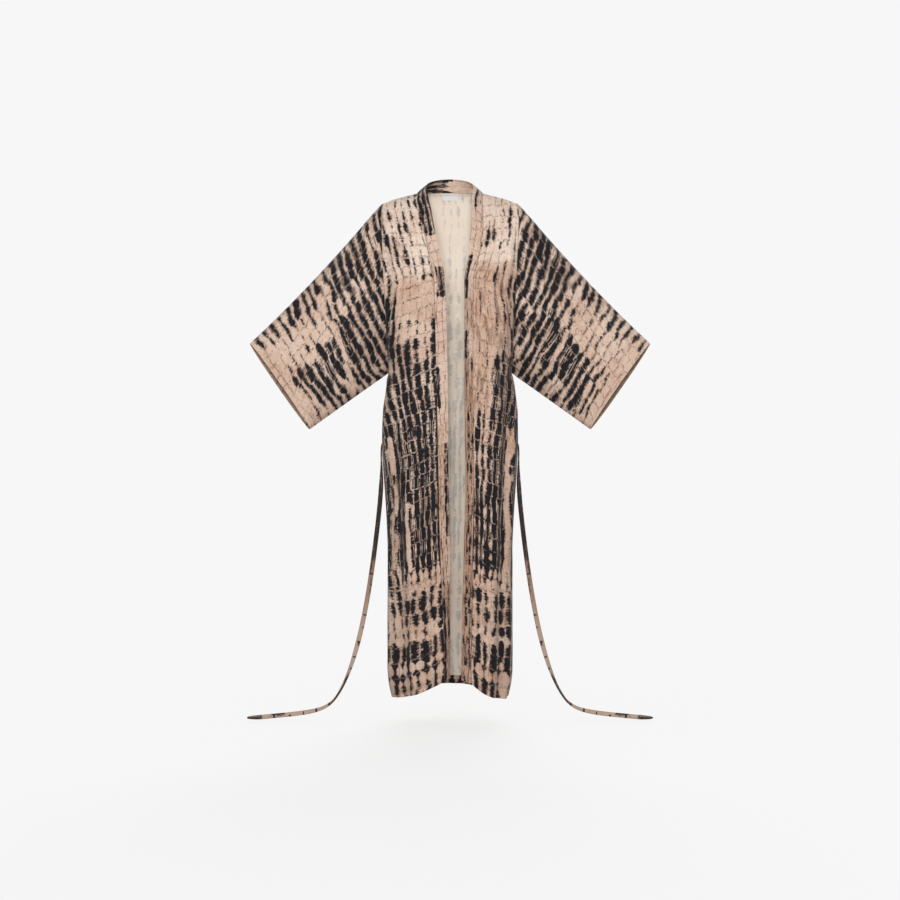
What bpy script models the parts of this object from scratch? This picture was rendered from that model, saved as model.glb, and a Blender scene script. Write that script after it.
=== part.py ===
# A long open kimono coat with wide sleeves, a neckband and a narrow tie belt.
# It hangs open and hollow, as on a figure that isn't there.
# Sizes are in millimetres until place() turns them into metres.
# A height is a drop below the back neck seam, and +x is the wearer's left.

import math

import bmesh
import bpy
import numpy as np


def table(columns, *rows):
    """A short table with named columns, as arrays by name."""
    return dict(zip(columns.split(), np.array(rows, float).T))


# Driving sizes
CLOTH = 1.6  # wall of one layer
BAND_CLOTH = 2.6  # wall of the folded neckband
HEM_FOLD = 20  # height of the turned up hem and cuff
HEM_EXTRA = 0.9  # what the turned up layer adds inside
HALF_GAP = 0.2  # each piece stops this far short of a seam
ARMPIT_CLEAR = 1.4  # the sleeves start this far out at the one point of the armpit

NAPE_BEHIND = 60  # the back neck seam lies this far behind the shoulder line
NECK_HALF = 82
NECK_DROP = 12
SHOULDER_DROP = 34
ARMPIT_DROP = 459
ARMHOLE = ARMPIT_DROP - SHOULDER_DROP
HEM_DROP = 1262
FRONT_HEM_RISE = {-1: 49, 1: 44}  # the fronts lift towards the opening, the right one first
FRONT_HEM_CURVE = {-1: 1.6, 1: 2.2}  # and the lift starts later the higher this is
BACK_HEM_RISE = 9

BAND_CROWN = 1.2
SHOULDER_COLUMNS = 10
NECK_COLUMNS = 5

BELT_WIDTH = 12
BELT_THICK = 4
BELT_CLEAR = 1.2  # room between the cloth and the belt
LOOP_WIDTH = 5
LOOP_BEHIND = 28  # the loops sit this far behind the side seams

# The upper body, from the shoulder seam down to the armpit. Depths are from the shoulder line.
# cover turns the back from the neck's curve into the shoulder blades' curve.
UPPER = table(
    "below arm_out arm_front arm_back neck_front spine_back cover",
    (0, 168, 0, 0, 0, 60, 0),
    (6, 169, 17, 15, 15, 67, 0.30),
    (20, 169.5, 33, 30, 34, 75, 0.52),
    (45, 169.5, 48, 45, 55, 83, 0.72),
    (80, 168, 58, 56, 73, 90, 0.86),
    (125, 166, 64, 64, 87, 95, 0.95),
    (175, 164, 66, 68, 98, 98, 1),
    (230, 161, 65, 67, 107, 100, 1),
    (290, 158, 58, 60, 113, 101, 1),
    (350, 155.5, 43, 46, 117, 100, 1),
    (398, 154, 21, 24, 119, 99, 1),
    (425, 153, 0, 0, 119, 98, 1),
)

# The body below the armpit
LOWER = table(
    "drop half_width front_depth back_depth",
    (459, 153, 119, 98),
    (515, 161, 120, 94),
    (560, 167, 120, 91),
    (628, 169, 120, 91),
    (665, 168, 120, 94),
    (728, 164, 121, 101),
    (785, 160, 122, 107),
    (845, 157, 122, 110),
    (905, 155, 121, 111),
    (1195, 155.5, 118, 109),
    (1232, 152, 117, 109),
    (1262, 145, 116, 109),
)
LOWER_ROWS = (490, 525, 560, 595, 628, 652, 690, 740, 795, 850, 910, 970, 1030, 1085, 1140, 1190, 1220)

# Where the neckband joins each front, and the way from its seam to its free edge:
# reach is towards the middle, inward is into the body, and up is up.
BAND_RIGHT = table(
    "drop seam reach inward up",
    (12, 82, 24, 2, 19),
    (36, 81, 27, -2, 9),
    (62, 75, 28, -5, 5),
    (103, 67, 27, -6, 3),
    (178, 50.5, 27, -5, 1),
    (228, 40, 26, -2, 0),
    (278, 38, 27, 3, 0),
    (478, 33, 27, 5, 0),
    (728, 28, 24, 13, 0),
    (903, 24.5, 24, 15, 0),
    (1028, 19.5, 19, 20, 1),
    (1153, 15, 15, 23, 2),
    (1262, 13, 13, 23, 5),
)
BAND_LEFT = table(
    "drop seam reach inward up",
    (12, 82, 24, 2, 19),
    (36, 80, 26, -2, 9),
    (62, 81, 28, -5, 5),
    (103, 81, 28, -6, 3),
    (140, 76, 28, -5, 1),
    (178, 71, 26, 2, 0),
    (205, 64, 23, 10, 0),
    (240, 56, 20, 19, 0),
    (478, 55.5, 20, 19, 0),
    (728, 58, 19.5, 20, 0),
    (903, 55.5, 21, 18, 0),
    (1153, 52, 23, 16, 1),
    (1262, 51, 23, 15, 6),
)
NAPE_BAND = {"lean": 8, "up": 33}  # the band's way at the back neck

# The cuffs: how far out, forward and down their two corners are
CUFF_TOP = {"out": 488, "forward": 86, "drop": 394}
CUFF_BOTTOM = {"out": 343, "forward": 84, "drop": 602}
CUFF_HALF_DEPTH = 27
CUFF_TURN = 14  # degrees that the sleeves turn forward
SLEEVE_SAG = 11
SLEEVE_BELLY = 7
SLEEVE_STATIONS = (0, 0.06, 0.14, 0.23, 0.33, 0.43, 0.53, 0.63, 0.73, 0.83, 0.91)
SLEEVE_LENGTH = 470

# Soft folds of the body. centre runs from 0 at the side seam to 1 at the front seam or the
# spine, and shift is how far it wanders from the fold's top to its foot.
FRONT_RIGHT_FOLDS = table(
    "centre shift width height top foot",
    (0.18, 0.30, 0.10, 6, 430, 820),
    (0.40, 0.14, 0.09, -5, 470, 1300),
    (0.56, 0.10, 0.10, 7, 520, 1300),
    (0.80, 0.02, 0.08, -5, 640, 1300),
    (0.24, -0.02, 0.09, 5, 760, 1300),
    (0.46, 0.06, 0.10, 5, 90, 420),
)
FRONT_LEFT_FOLDS = table(
    "centre shift width height top foot",
    (0.16, 0.28, 0.10, 6, 430, 800),
    (0.66, 0.04, 0.12, 8, 190, 1300),
    (0.46, 0.08, 0.09, -5, 480, 1300),
    (0.30, 0.06, 0.10, 6, 620, 1300),
    (0.86, 0.00, 0.07, -4, 300, 1300),
    (0.40, 0.06, 0.10, 5, 90, 420),
)
BACK_FOLDS = table(
    "centre shift width height top foot",
    (0.16, 0.24, 0.08, 5, 430, 800),
    (0.34, 0.06, 0.07, -5, 500, 1300),
    (0.50, 0.06, 0.08, 8, 430, 1300),
    (0.70, 0.03, 0.07, -5, 620, 1300),
    (0.84, 0.02, 0.08, 6, 500, 1300),
)
# Folds of a sleeve run from the armpit to its top edge, where they are spread along it.
SLEEVE_FOLDS = table(
    "top foot width height",
    (0.16, 0.03, 0.06, 6),
    (0.34, 0.10, 0.07, -5),
    (0.50, 0.24, 0.08, 6),
    (0.70, 0.52, 0.08, -4),
)

# The belt's free ends hang as a chain does, and end on the floor that they touch.
BELT = {"sag": 62, "touch_out": 359, "floor_drop": 1322, "tip_out": 507, "tip_forward": 18}
BELT_TRAIL = {"out": 130, "height": 8.5}  # the foot of the curve is drawn out along the floor
BELT_STEP = 22
BELT_LEAD = 4  # the free ends come straight out of the loops for this much
BELT_TURN = 9  # and then turn down on this radius
# Turn of the belt's width about its route: 0 shows its edge to the front, 90 its face.
BELT_TWIST = table(
    "share turn",
    (0, 0),
    (0.05, 8),
    (0.16, 78),
    (0.52, 84),
    (0.68, 30),
    (0.74, 16),
    (0.84, 50),
    (1, 56),
)

LABEL = {"top_half": 23, "foot_half": 18.5, "top": 1.5, "height": 15, "thick": 1, "clear": 0.9}

COLOURS = {
    "print_cloth": (0.62, 0.43, 0.31),
    "band_cloth": (0.58, 0.39, 0.28),
    "belt_cloth": (0.50, 0.36, 0.28),
    "label_cloth": (0.90, 0.90, 0.90),
}


def smooth(rows, key, column, at):
    """A smooth curve through one column of a table, with no overshoot between its rows."""
    x, y = rows[key], rows[column]
    slope = np.diff(y) / np.diff(x)
    tangent = np.concatenate([[slope[0]], (slope[1:] + slope[:-1]) / 2, [slope[-1]]])
    for i in range(1, len(x) - 1):
        if slope[i - 1] * slope[i] <= 0:
            tangent[i] = 0
        else:
            most = 2 * min(abs(slope[i - 1]), abs(slope[i]))
            tangent[i] = np.clip(tangent[i], -most, most)
    at = np.clip(np.asarray(at, float), x[0], x[-1])
    i = np.clip(np.searchsorted(x, at, side="right") - 1, 0, len(x) - 2)
    width = x[i + 1] - x[i]
    t = (at - x[i]) / width
    rise = y[i] * (1 + 2 * t) * (1 - t) ** 2 + y[i + 1] * t * t * (3 - 2 * t)
    return rise + width * (tangent[i] * t * (1 - t) ** 2 - tangent[i + 1] * t * t * (1 - t))


def place(point):
    """Millimetres across, behind the shoulder line and down, as metres from the back neck seam."""
    across, behind, drop = np.moveaxis(np.asarray(point, float), -1, 0)
    return np.stack([across, behind - NAPE_BEHIND, -drop], axis=-1) / 1000


def unit(vector):
    return vector / np.maximum(np.linalg.norm(vector, axis=-1, keepdims=True), 1e-12)


def ease(low, high, value):
    t = np.clip((value - low) / (high - low), 0, 1)
    return t * t * (3 - 2 * t)


def row_keys():
    """Each row of the body as (zone, below or drop), from the shoulder to the hem."""
    hem = (HEM_DROP - HEM_FOLD - 2, HEM_DROP - HEM_FOLD, HEM_DROP)
    upper = [("upper", below) for below in UPPER["below"]]
    return upper + [("lower", drop) for drop in LOWER_ROWS + hem]


def stretched(top, below):
    """The drop of a row of the upper body in a column that starts at top and ends level with the armpit."""
    return top + below * (ARMPIT_DROP - top) / ARMHOLE


def arm_point(below, side, back):
    """A point of the armhole seam."""
    depth = smooth(UPPER, "below", "arm_back", below) if back else -smooth(UPPER, "below", "arm_front", below)
    return np.array([side * smooth(UPPER, "below", "arm_out", below), depth, SHOULDER_DROP + below])


def band_table(side):
    return BAND_LEFT if side > 0 else BAND_RIGHT


def front_row(zone, key, side):
    """One row of a front, from the side seam or armhole to the neckband's seam."""
    bend = np.linspace(0, 1, SHOULDER_COLUMNS + 1) * math.pi / 2
    across = 1 - np.cos(bend)
    if zone == "upper":
        outer = arm_point(key, side, back=False)
        drop = stretched(NECK_DROP, key)
        depth = smooth(UPPER, "below", "neck_front", key)
        power = 1.3 + 0.9 * ease(150, ARMHOLE, key)
        rise = 0
    else:
        drop = key
        outer = np.array([side * smooth(LOWER, "drop", "half_width", drop), 0, drop])
        depth = smooth(LOWER, "drop", "front_depth", drop)
        power = 2.2
        rise = FRONT_HEM_RISE[side] * ((drop - ARMPIT_DROP) / (HEM_DROP - ARMPIT_DROP)) ** 1.5
    inner = np.array([side * smooth(band_table(side), "drop", "seam", drop), -depth, drop])
    forward = (1 - np.cos(bend) ** power) ** (1 / power)
    share = np.stack([across, forward, across], axis=1)
    row = outer + (inner - outer) * share
    row[:, 2] -= rise * across ** FRONT_HEM_CURVE[side]
    return row


def neck_turn():
    """Angles round the back neck, from the shoulder seam to the nape."""
    return np.linspace(0, math.pi / 2, NECK_COLUMNS + 1)


def neck_point(turn, side):
    across, behind = math.cos(turn), math.sin(turn)
    return np.array([side * NECK_HALF * across, NAPE_BEHIND * behind, NECK_DROP * (1 - behind)])


def back_half(zone, key, side):
    """Half a row of the back, from the side seam or armhole to the spine."""
    columns = SHOULDER_COLUMNS + NECK_COLUMNS
    low_share = 1 - np.cos(np.linspace(0, 1, columns + 1) * math.pi / 2)
    if zone == "lower":
        half_width = smooth(LOWER, "drop", "half_width", key)
        depth = smooth(LOWER, "drop", "back_depth", key)
        behind = (1 - (1 - low_share) ** 2.3) ** (1 / 2.3)
        rise = BACK_HEM_RISE * ease(1000, HEM_DROP, key)
        drop = key - rise * low_share
        return np.stack([side * half_width * (1 - low_share), depth * behind, drop], axis=1)
    seam = front_row("upper", 0, side)
    neck = np.array([neck_point(turn, side) for turn in neck_turn()[1:]])
    top = np.concatenate([seam, neck])
    top_share = 1 - np.abs(top[:, 0]) / abs(top[0, 0])
    share = top_share + (low_share - top_share) * ease(0, ARMHOLE, key)
    power = 1.4 + 0.9 * ease(120, ARMHOLE, key)
    curve = (1 - (1 - share) ** power) ** (1 / power)
    neck_curve = np.interp(share, top_share, top[:, 1] / NAPE_BEHIND)
    cover = smooth(UPPER, "below", "cover", key)
    ridge = np.interp(share, top_share, top[:, 2])
    outer = arm_point(key, side, back=True)
    spine = smooth(UPPER, "below", "spine_back", key)
    behind = outer[1] + (spine - outer[1]) * (neck_curve + (curve - neck_curve) * cover)
    drop = stretched(ridge, key)
    return np.stack([outer[0] * (1 - share), behind, drop], axis=1)


def front_grid(side):
    return place(np.array([front_row(zone, key, side) for zone, key in row_keys()]))


def back_grid():
    """Rows of the whole back, from the wearer's right to the left."""
    rows = []
    for zone, key in row_keys():
        right, left = back_half(zone, key, -1), back_half(zone, key, 1)
        rows.append(np.concatenate([right, left[-2::-1]]))
    return place(np.array(rows))


def sleeve_stations():
    fold = HEM_FOLD / SLEEVE_LENGTH
    return SLEEVE_STATIONS + (1 - fold - 0.005, 1 - fold, 1)


def sleeve_grid(side):
    """Rings from the armhole to the cuff. A ring goes from the top down the front and up the back."""
    front = [arm_point(below, side, back=False) for below in UPPER["below"]]
    back = [arm_point(below, side, back=True) for below in UPPER["below"][-2:0:-1]]
    root = np.array(front + back)
    length = np.concatenate([[0], np.cumsum(np.linalg.norm(np.diff(front, axis=0), axis=1))])
    front_share = length / length[-1]
    share = np.concatenate([front_share, front_share[-2:0:-1]])
    facing = np.concatenate([-np.ones(len(front)), np.ones(len(back))])
    top, foot = (
        np.array([side * corner["out"], -corner["forward"], corner["drop"]])
        for corner in (CUFF_TOP, CUFF_BOTTOM)
    )
    turn = math.radians(CUFF_TURN)
    along = unit(np.array([side * 1.0, 0, 1.0]))
    depth_way = along * math.sin(turn) + np.array([0, math.cos(turn), 0])
    round_share = (facing * 2 * CUFF_HALF_DEPTH * np.sqrt(share * (1 - share)))[:, None]
    cuff = top + (foot - top) * share[:, None] + depth_way * round_share
    rings = []
    for station in sleeve_stations():
        middle = 4 * station * (1 - station)
        ring = root + (cuff - root) * station
        ring[:, 2] += SLEEVE_SAG * middle * (1 - share)
        ring[:, 1] += facing * SLEEVE_BELLY * middle * np.sin(math.pi * share)
        rings.append(ring)
    return place(np.array(rings))


def band_grid(fronts):
    """Stations along the neckband, from the right hem round the neck to the left hem."""
    keys = row_keys()
    stations = []
    for side in (-1, 1):
        rows = band_table(side)
        half = []
        for i, (zone, key) in enumerate(keys):
            drop = key
            if zone == "upper":
                drop = stretched(NECK_DROP, key)
            reach, inward, up = (smooth(rows, "drop", column, drop) for column in ("reach", "inward", "up"))
            half.append((fronts[side][i, -1], np.array([-side * reach, inward, up]) / 1000))
        half.reverse()
        for turn in neck_turn()[1:]:
            reach = rows["reach"][0] * math.cos(turn)
            inward = rows["inward"][0] * math.cos(turn) - NAPE_BAND["lean"] * math.sin(turn)
            up = rows["up"][0] + (NAPE_BAND["up"] - rows["up"][0]) * math.sin(turn)
            half.append((place(neck_point(turn, side)), np.array([-side * reach, inward, up]) / 1000))
        stations.append(half)
    line = stations[0] + stations[1][-2::-1]
    seam = np.array([point for point, _ in line])
    way = np.array([way for _, way in line])
    grid = np.stack([seam, seam + way / 2, seam + way], axis=1)
    outward = unit(np.cross(way, np.gradient(seam, axis=0)))
    grid[:, 1] += outward * BAND_CROWN / 1000
    return grid


def fold_height(folds, share, drop):
    """The height of soft folds in millimetres, which fades out at every seam."""
    total = np.zeros(np.broadcast(share, drop).shape)
    for centre, shift, width, height, top, foot in zip(*folds.values()):
        way = np.clip((drop - top) / (foot - top), 0, 1)
        length = ease(top, top + 0.3 * (foot - top), drop)
        if foot < HEM_DROP:
            length = length * (1 - ease(foot - 0.35 * (foot - top), foot, drop))
        total += height * length * np.exp(-(((share - centre - shift * way) / width) ** 2))
    return total * ease(0, 0.09, share) * ease(0, 0.09, 1 - share)


def folded(grid, normals, height):
    return grid + normals * (height / 1000)[..., None]


def welded_normals(grids):
    """Normals of all the cloth as one skin, so that pieces meet face to face at their seams.

    Each corner of a cell counts by its angle, so a seam's mitre halves the angle between its pieces.
    """
    total = {}
    keys = [np.round(grid * 1e5).astype(int) for grid, _, _ in grids]
    for (grid, closed, flip), key in zip(grids, keys):
        count = grid.shape[1] if closed else grid.shape[1] - 1
        for i in range(grid.shape[0] - 1):
            for j in range(count):
                k = (j + 1) % grid.shape[1]
                ring = ((i, j), (i + 1, j), (i + 1, k), (i, k))
                for n, corner in enumerate(ring):
                    after, before = (grid[ring[(n + step) % 4]] - grid[corner] for step in (1, 3))
                    normal = np.cross(after, before)
                    angle = math.atan2(np.linalg.norm(normal), np.dot(after, before))
                    normal = unit(normal) * (-angle if flip else angle)
                    name = tuple(key[corner])
                    total[name] = total.get(name, 0) + normal
    found = []
    for (grid, _, _), key in zip(grids, keys):
        sums = np.array([total[tuple(name)] for name in key.reshape(-1, 3)])
        found.append(unit(sums).reshape(grid.shape))
    return found


def trimmed(grid, closed):
    """The grid with each edge drawn in by half a seam's gap."""
    short = grid.copy()
    short[0] += unit(grid[1] - grid[0]) * HALF_GAP / 1000
    short[-1] += unit(grid[-2] - grid[-1]) * HALF_GAP / 1000
    if not closed:
        short[:, 0] += unit(grid[:, 1] - grid[:, 0]) * HALF_GAP / 1000
        short[:, -1] += unit(grid[:, -2] - grid[:, -1]) * HALF_GAP / 1000
    return short


def solid(name, points, faces, slot):
    """One closed object from its points and faces."""
    mesh = bpy.data.meshes.new(name)
    mesh.from_pydata([tuple(point) for point in points], [], faces)
    edit = bmesh.new()
    edit.from_mesh(mesh)
    bmesh.ops.recalc_face_normals(edit, faces=edit.faces)
    edit.to_mesh(mesh)
    edit.free()
    mesh.shade_smooth()
    mesh.set_sharp_from_angle(angle=math.radians(50))
    mesh.materials.append(material(slot))
    made = bpy.data.objects.new(name, mesh)
    bpy.context.scene.collection.objects.link(made)
    return made


def wall(name, grid, normals, slot, thick=CLOTH, extra=None, closed=False):
    """A wall of even thickness round a grid of cloth points. extra thickens rows on the inside."""
    rows, columns = grid.shape[:2]
    middle = trimmed(grid, closed)
    inside = np.full(rows, thick / 2) + (0 if extra is None else extra)
    outer = middle + normals * thick / 2000
    inner = middle - normals * inside[:, None, None] / 1000
    points = np.concatenate([outer.reshape(-1, 3), inner.reshape(-1, 3)])
    under = rows * columns
    faces = []
    for i in range(rows - 1):
        for j in range(columns if closed else columns - 1):
            k = (j + 1) % columns
            ring = (i * columns + j, (i + 1) * columns + j, (i + 1) * columns + k, i * columns + k)
            faces += [ring, tuple(corner + under for corner in reversed(ring))]
    edges = [[i * columns + j for j in range(columns)] for i in (0, rows - 1)]
    if closed:
        edges = [edge + edge[:1] for edge in edges]
    else:
        edges += [[i * columns + j for i in range(rows)] for j in (0, columns - 1)]
    for edge in edges:
        faces += [(a, b, b + under, a + under) for a, b in zip(edge, edge[1:])]
    return solid(name, points, faces, slot)


def strap(name, line, ways, width, thick, slot, taper=0):
    """A flat strap along a line. ways are its width's directions, and taper narrows its far end."""
    line = np.asarray(line)
    tangent = unit(np.gradient(line, axis=0))
    across = unit(ways - tangent * np.sum(ways * tangent, axis=1, keepdims=True))
    normal = unit(np.cross(tangent, across))
    along = np.concatenate([[0], np.cumsum(np.linalg.norm(np.diff(line, axis=0), axis=1))])
    left = (along[-1] - along) * 1000
    share = np.clip(0.3 + 0.7 * left / taper, 0, 1) if taper else np.ones(len(line))
    half = (share * width / 2000)[:, None]
    rim, face = 0.35, 0.82  # a rounded edge: the rim's share of thickness, the face's share of width
    section = ((-1, rim), (-face, 1), (face, 1), (1, rim), (1, -rim), (face, -1), (-face, -1), (-1, -rim))
    rings = [line + across * half * a + normal * b * thick / 2000 for a, b in section]
    points = np.stack(rings, axis=1)
    count, sides = points.shape[:2]
    faces = [tuple(range(sides)), tuple((count - 1) * sides + i for i in reversed(range(sides)))]
    for i in range(count - 1):
        for j in range(sides):
            k = (j + 1) % sides
            faces.append((i * sides + j, (i + 1) * sides + j, (i + 1) * sides + k, i * sides + k))
    return solid(name, points.reshape(-1, 3), faces, slot)


def material(slot):
    found = bpy.data.materials.get(slot)
    if found:
        return found
    made = bpy.data.materials.new(slot)
    made.use_nodes = True
    shader = made.node_tree.nodes["Principled BSDF"]
    shader.inputs["Base Color"].default_value = (*COLOURS[slot], 1)
    shader.inputs["Roughness"].default_value = 0.85
    shader.inputs["Metallic"].default_value = 0
    return made


def hem_extra():
    """What the turned up hem adds to each row of the body."""
    drops = np.array([key if zone == "lower" else 0 for zone, key in row_keys()])
    return np.where(drops >= HEM_DROP - HEM_FOLD, HEM_EXTRA, 0)


def body_folds(folds, grid, half):
    """Fold heights over a grid whose columns run from a side seam; half mirrors them past the middle."""
    columns = grid.shape[1]
    share = np.linspace(0, 1, columns)[None, :]
    if half:
        share = 1 - np.abs(share * 2 - 1)
    height = fold_height(folds, share, -grid[:, :, 2] * 1000)
    height[0] = 0
    if half:
        spine = columns // 2
        height[:, spine] = (height[:, spine - 1] + height[:, spine + 1]) / 2
    return height


def sleeve_folds(grid):
    """Fold heights over a sleeve's rings, which fade out at the armhole seam."""
    rings, around = grid.shape[:2]
    station = np.array(sleeve_stations())[:, None]
    down = 1 - np.abs(1 - 2 * np.arange(around) / around)[None, :]
    total = np.zeros((rings, around))
    for top, foot, width, height in zip(*SLEEVE_FOLDS.values()):
        centre = top + (foot - top) * down
        window = np.sin(math.pi * np.clip(down, 0, 1)) * ease(0, 0.2, 1 - down)
        total += height * window * np.exp(-(((station - centre) / width) ** 2))
    return total * ease(0, 0.1, station)


def cell(grid, normals, row, column):
    """A point and normal inside a grid's flat cells."""
    i, j = int(min(row, grid.shape[0] - 2)), int(min(column, grid.shape[1] - 2))
    t, s = row - i, column - j
    weights = ((1 - t) * (1 - s), (1 - t) * s, t * (1 - s), t * s)
    corners = ((i, j), (i, j + 1), (i + 1, j), (i + 1, j + 1))
    point = sum(weight * grid[corner] for weight, corner in zip(weights, corners))
    normal = unit(sum(weight * normals[corner] for weight, corner in zip(weights, corners)))
    return point, normal


def label(grid, normals):
    """A plain woven label, hung from the back neck seam against the inside of the back."""
    drops = -grid[:, grid.shape[1] // 2, 2] * 1000
    across = grid[0, :, 0] * 1000
    points = []
    for share in np.linspace(0, 1, 4):
        half = LABEL["top_half"] + (LABEL["foot_half"] - LABEL["top_half"]) * share
        row = np.interp(LABEL["top"] + LABEL["height"] * share, drops, np.arange(len(drops)))
        line = []
        for x in np.linspace(-half, half, 7):
            point, normal = cell(grid, normals, row, np.interp(x, across, np.arange(len(across))))
            line.append(point - normal * (CLOTH / 2 + LABEL["clear"] + LABEL["thick"] / 2) / 1000)
        points.append(line)
    points = np.array(points)
    flat = welded_normals([(points, False, False)])[0]
    return wall("neck_label", points, flat, "label_cloth", thick=LABEL["thick"])


def belt_column(grid, behind):
    """Where the belt's row crosses the back grid that far behind the side seam, on the right."""
    row = row_keys().index(("lower", 628))
    depth = (grid[row, : grid.shape[1] // 2, 1] - grid[row, 0, 1]) * 1000
    return np.interp(behind, depth, np.arange(len(depth)))


def belt_back(grid, normals):
    """The belt's stretch across the back, against the cloth, from loop to loop."""
    row = row_keys().index(("lower", 628)) + 0.5
    first = belt_column(grid, LOOP_BEHIND)
    last = grid.shape[1] - 1 - first
    columns = [first] + [j for j in range(grid.shape[1]) if first + 0.3 < j < last - 0.3] + [last]
    line = []
    for column in columns:
        point, normal = cell(grid, normals, row, column)
        line.append(point + normal * (CLOTH / 2 + BELT_CLEAR + BELT_THICK / 2) / 1000)
    ways = np.tile([0, 0, 1.0], (len(line), 1))
    strap("belt_back", line, ways, BELT_WIDTH, BELT_THICK, "belt_cloth")
    return np.array(line)


def belt_route(start, way, side):
    """The free end's route in metres: out of its loop, down the side, and out along the floor."""
    first = start + way * 2 * HALF_GAP / 1000
    points = [first]
    first = first + way * BELT_LEAD / 1000
    for turn in np.radians((0, 30, 60, 90)):
        ahead, down = math.sin(turn), 1 - math.cos(turn)
        points.append(first + (way * ahead + np.array([0, 0, -down])) * BELT_TURN / 1000)
    top_drop, behind = -points[-1][2] * 1000, points[-1][1] * 1000 + NAPE_BEHIND
    rest = abs(points[-1][0]) * 1000
    drops = np.linspace(top_drop + 12, BELT["floor_drop"] - 1, 400)
    height = BELT["floor_drop"] - drops
    chain = BELT["touch_out"] - BELT["sag"] * np.arccosh(1 + height / BELT["sag"])
    chain += BELT_TRAIL["out"] * np.exp(-height / BELT_TRAIL["height"])
    beside = smooth(LOWER, "drop", "half_width", np.minimum(drops, HEM_DROP)) + rest
    beside = beside - smooth(LOWER, "drop", "half_width", top_drop)
    soft = 5.0
    out = np.logaddexp(chain / soft, beside / soft) * soft
    hang = np.stack([side * out, np.full(len(out), behind), drops], axis=1)
    outs = np.linspace(out[-1] + 4, BELT["tip_out"], 60)
    floor = np.full(len(outs), BELT["floor_drop"])
    lie = np.stack([side * outs, np.full(len(outs), behind), floor], axis=1)
    route = np.concatenate([hang, lie])
    trail = np.clip((np.abs(route[:, 0]) - BELT["touch_out"]) / (BELT["tip_out"] - BELT["touch_out"]), 0, 1)
    route[:, 1] -= BELT["tip_forward"] * trail**2
    fine = np.concatenate([points, place(route)])
    along = np.concatenate([[0], np.cumsum(np.linalg.norm(np.diff(fine, axis=0), axis=1))])
    bend_length = along[len(points) - 1]
    count = math.ceil((along[-1] - bend_length) * 1000 / BELT_STEP)
    at = np.concatenate([along[: len(points) - 1], np.linspace(bend_length, along[-1], count + 1)])
    return np.stack([np.interp(at, along, fine[:, k]) for k in range(3)], axis=1), at / along[-1]


def belt_end(name, belt, side):
    """One free end of the belt, which twists as it falls. belt is the stretch it goes on from."""
    line, share = belt_route(belt[0], unit(belt[0] - belt[1]), side)
    tangent = unit(np.gradient(line, axis=0))
    depth = np.tile([0, -1.0, 0], (len(line), 1))
    for i, turn in enumerate(np.radians((0, 0, 30, 60))):
        depth[i] = [0, -math.sin(turn), math.cos(turn)]
    depth = unit(depth - tangent * np.sum(depth * tangent, axis=1, keepdims=True))
    turn = np.radians(smooth(BELT_TWIST, "share", "turn", share))[:, None]
    ways = depth * np.cos(turn) + np.cross(tangent, depth) * np.sin(turn) * side
    strap(name, line, ways, BELT_WIDTH, BELT_THICK, "belt_cloth", taper=28)


def belt_loop(name, grid, normals, column):
    """A small loop of cloth that stands off the back and goes round the belt."""
    row = row_keys().index(("lower", 628))
    point, normal = cell(grid, normals, row + 0.5, column)
    stand = CLOTH / 2 + 0.9
    over = CLOTH / 2 + BELT_CLEAR + BELT_THICK + 1.3
    rise = BELT_WIDTH / 2 + 1.2
    path = ((stand, rise + 6), (stand + 0.4, rise + 3), (over, rise), (over, -rise))
    path += ((stand + 0.4, -rise - 3), (stand, -rise - 6))
    line = [point + normal * out / 1000 + np.array([0, 0, up / 1000]) for out, up in path]
    side = unit(np.cross(normal, [0, 0, 1.0]))
    strap(name, line, np.tile(side, (len(line), 1)), LOOP_WIDTH, 1.2, "belt_cloth")


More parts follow.
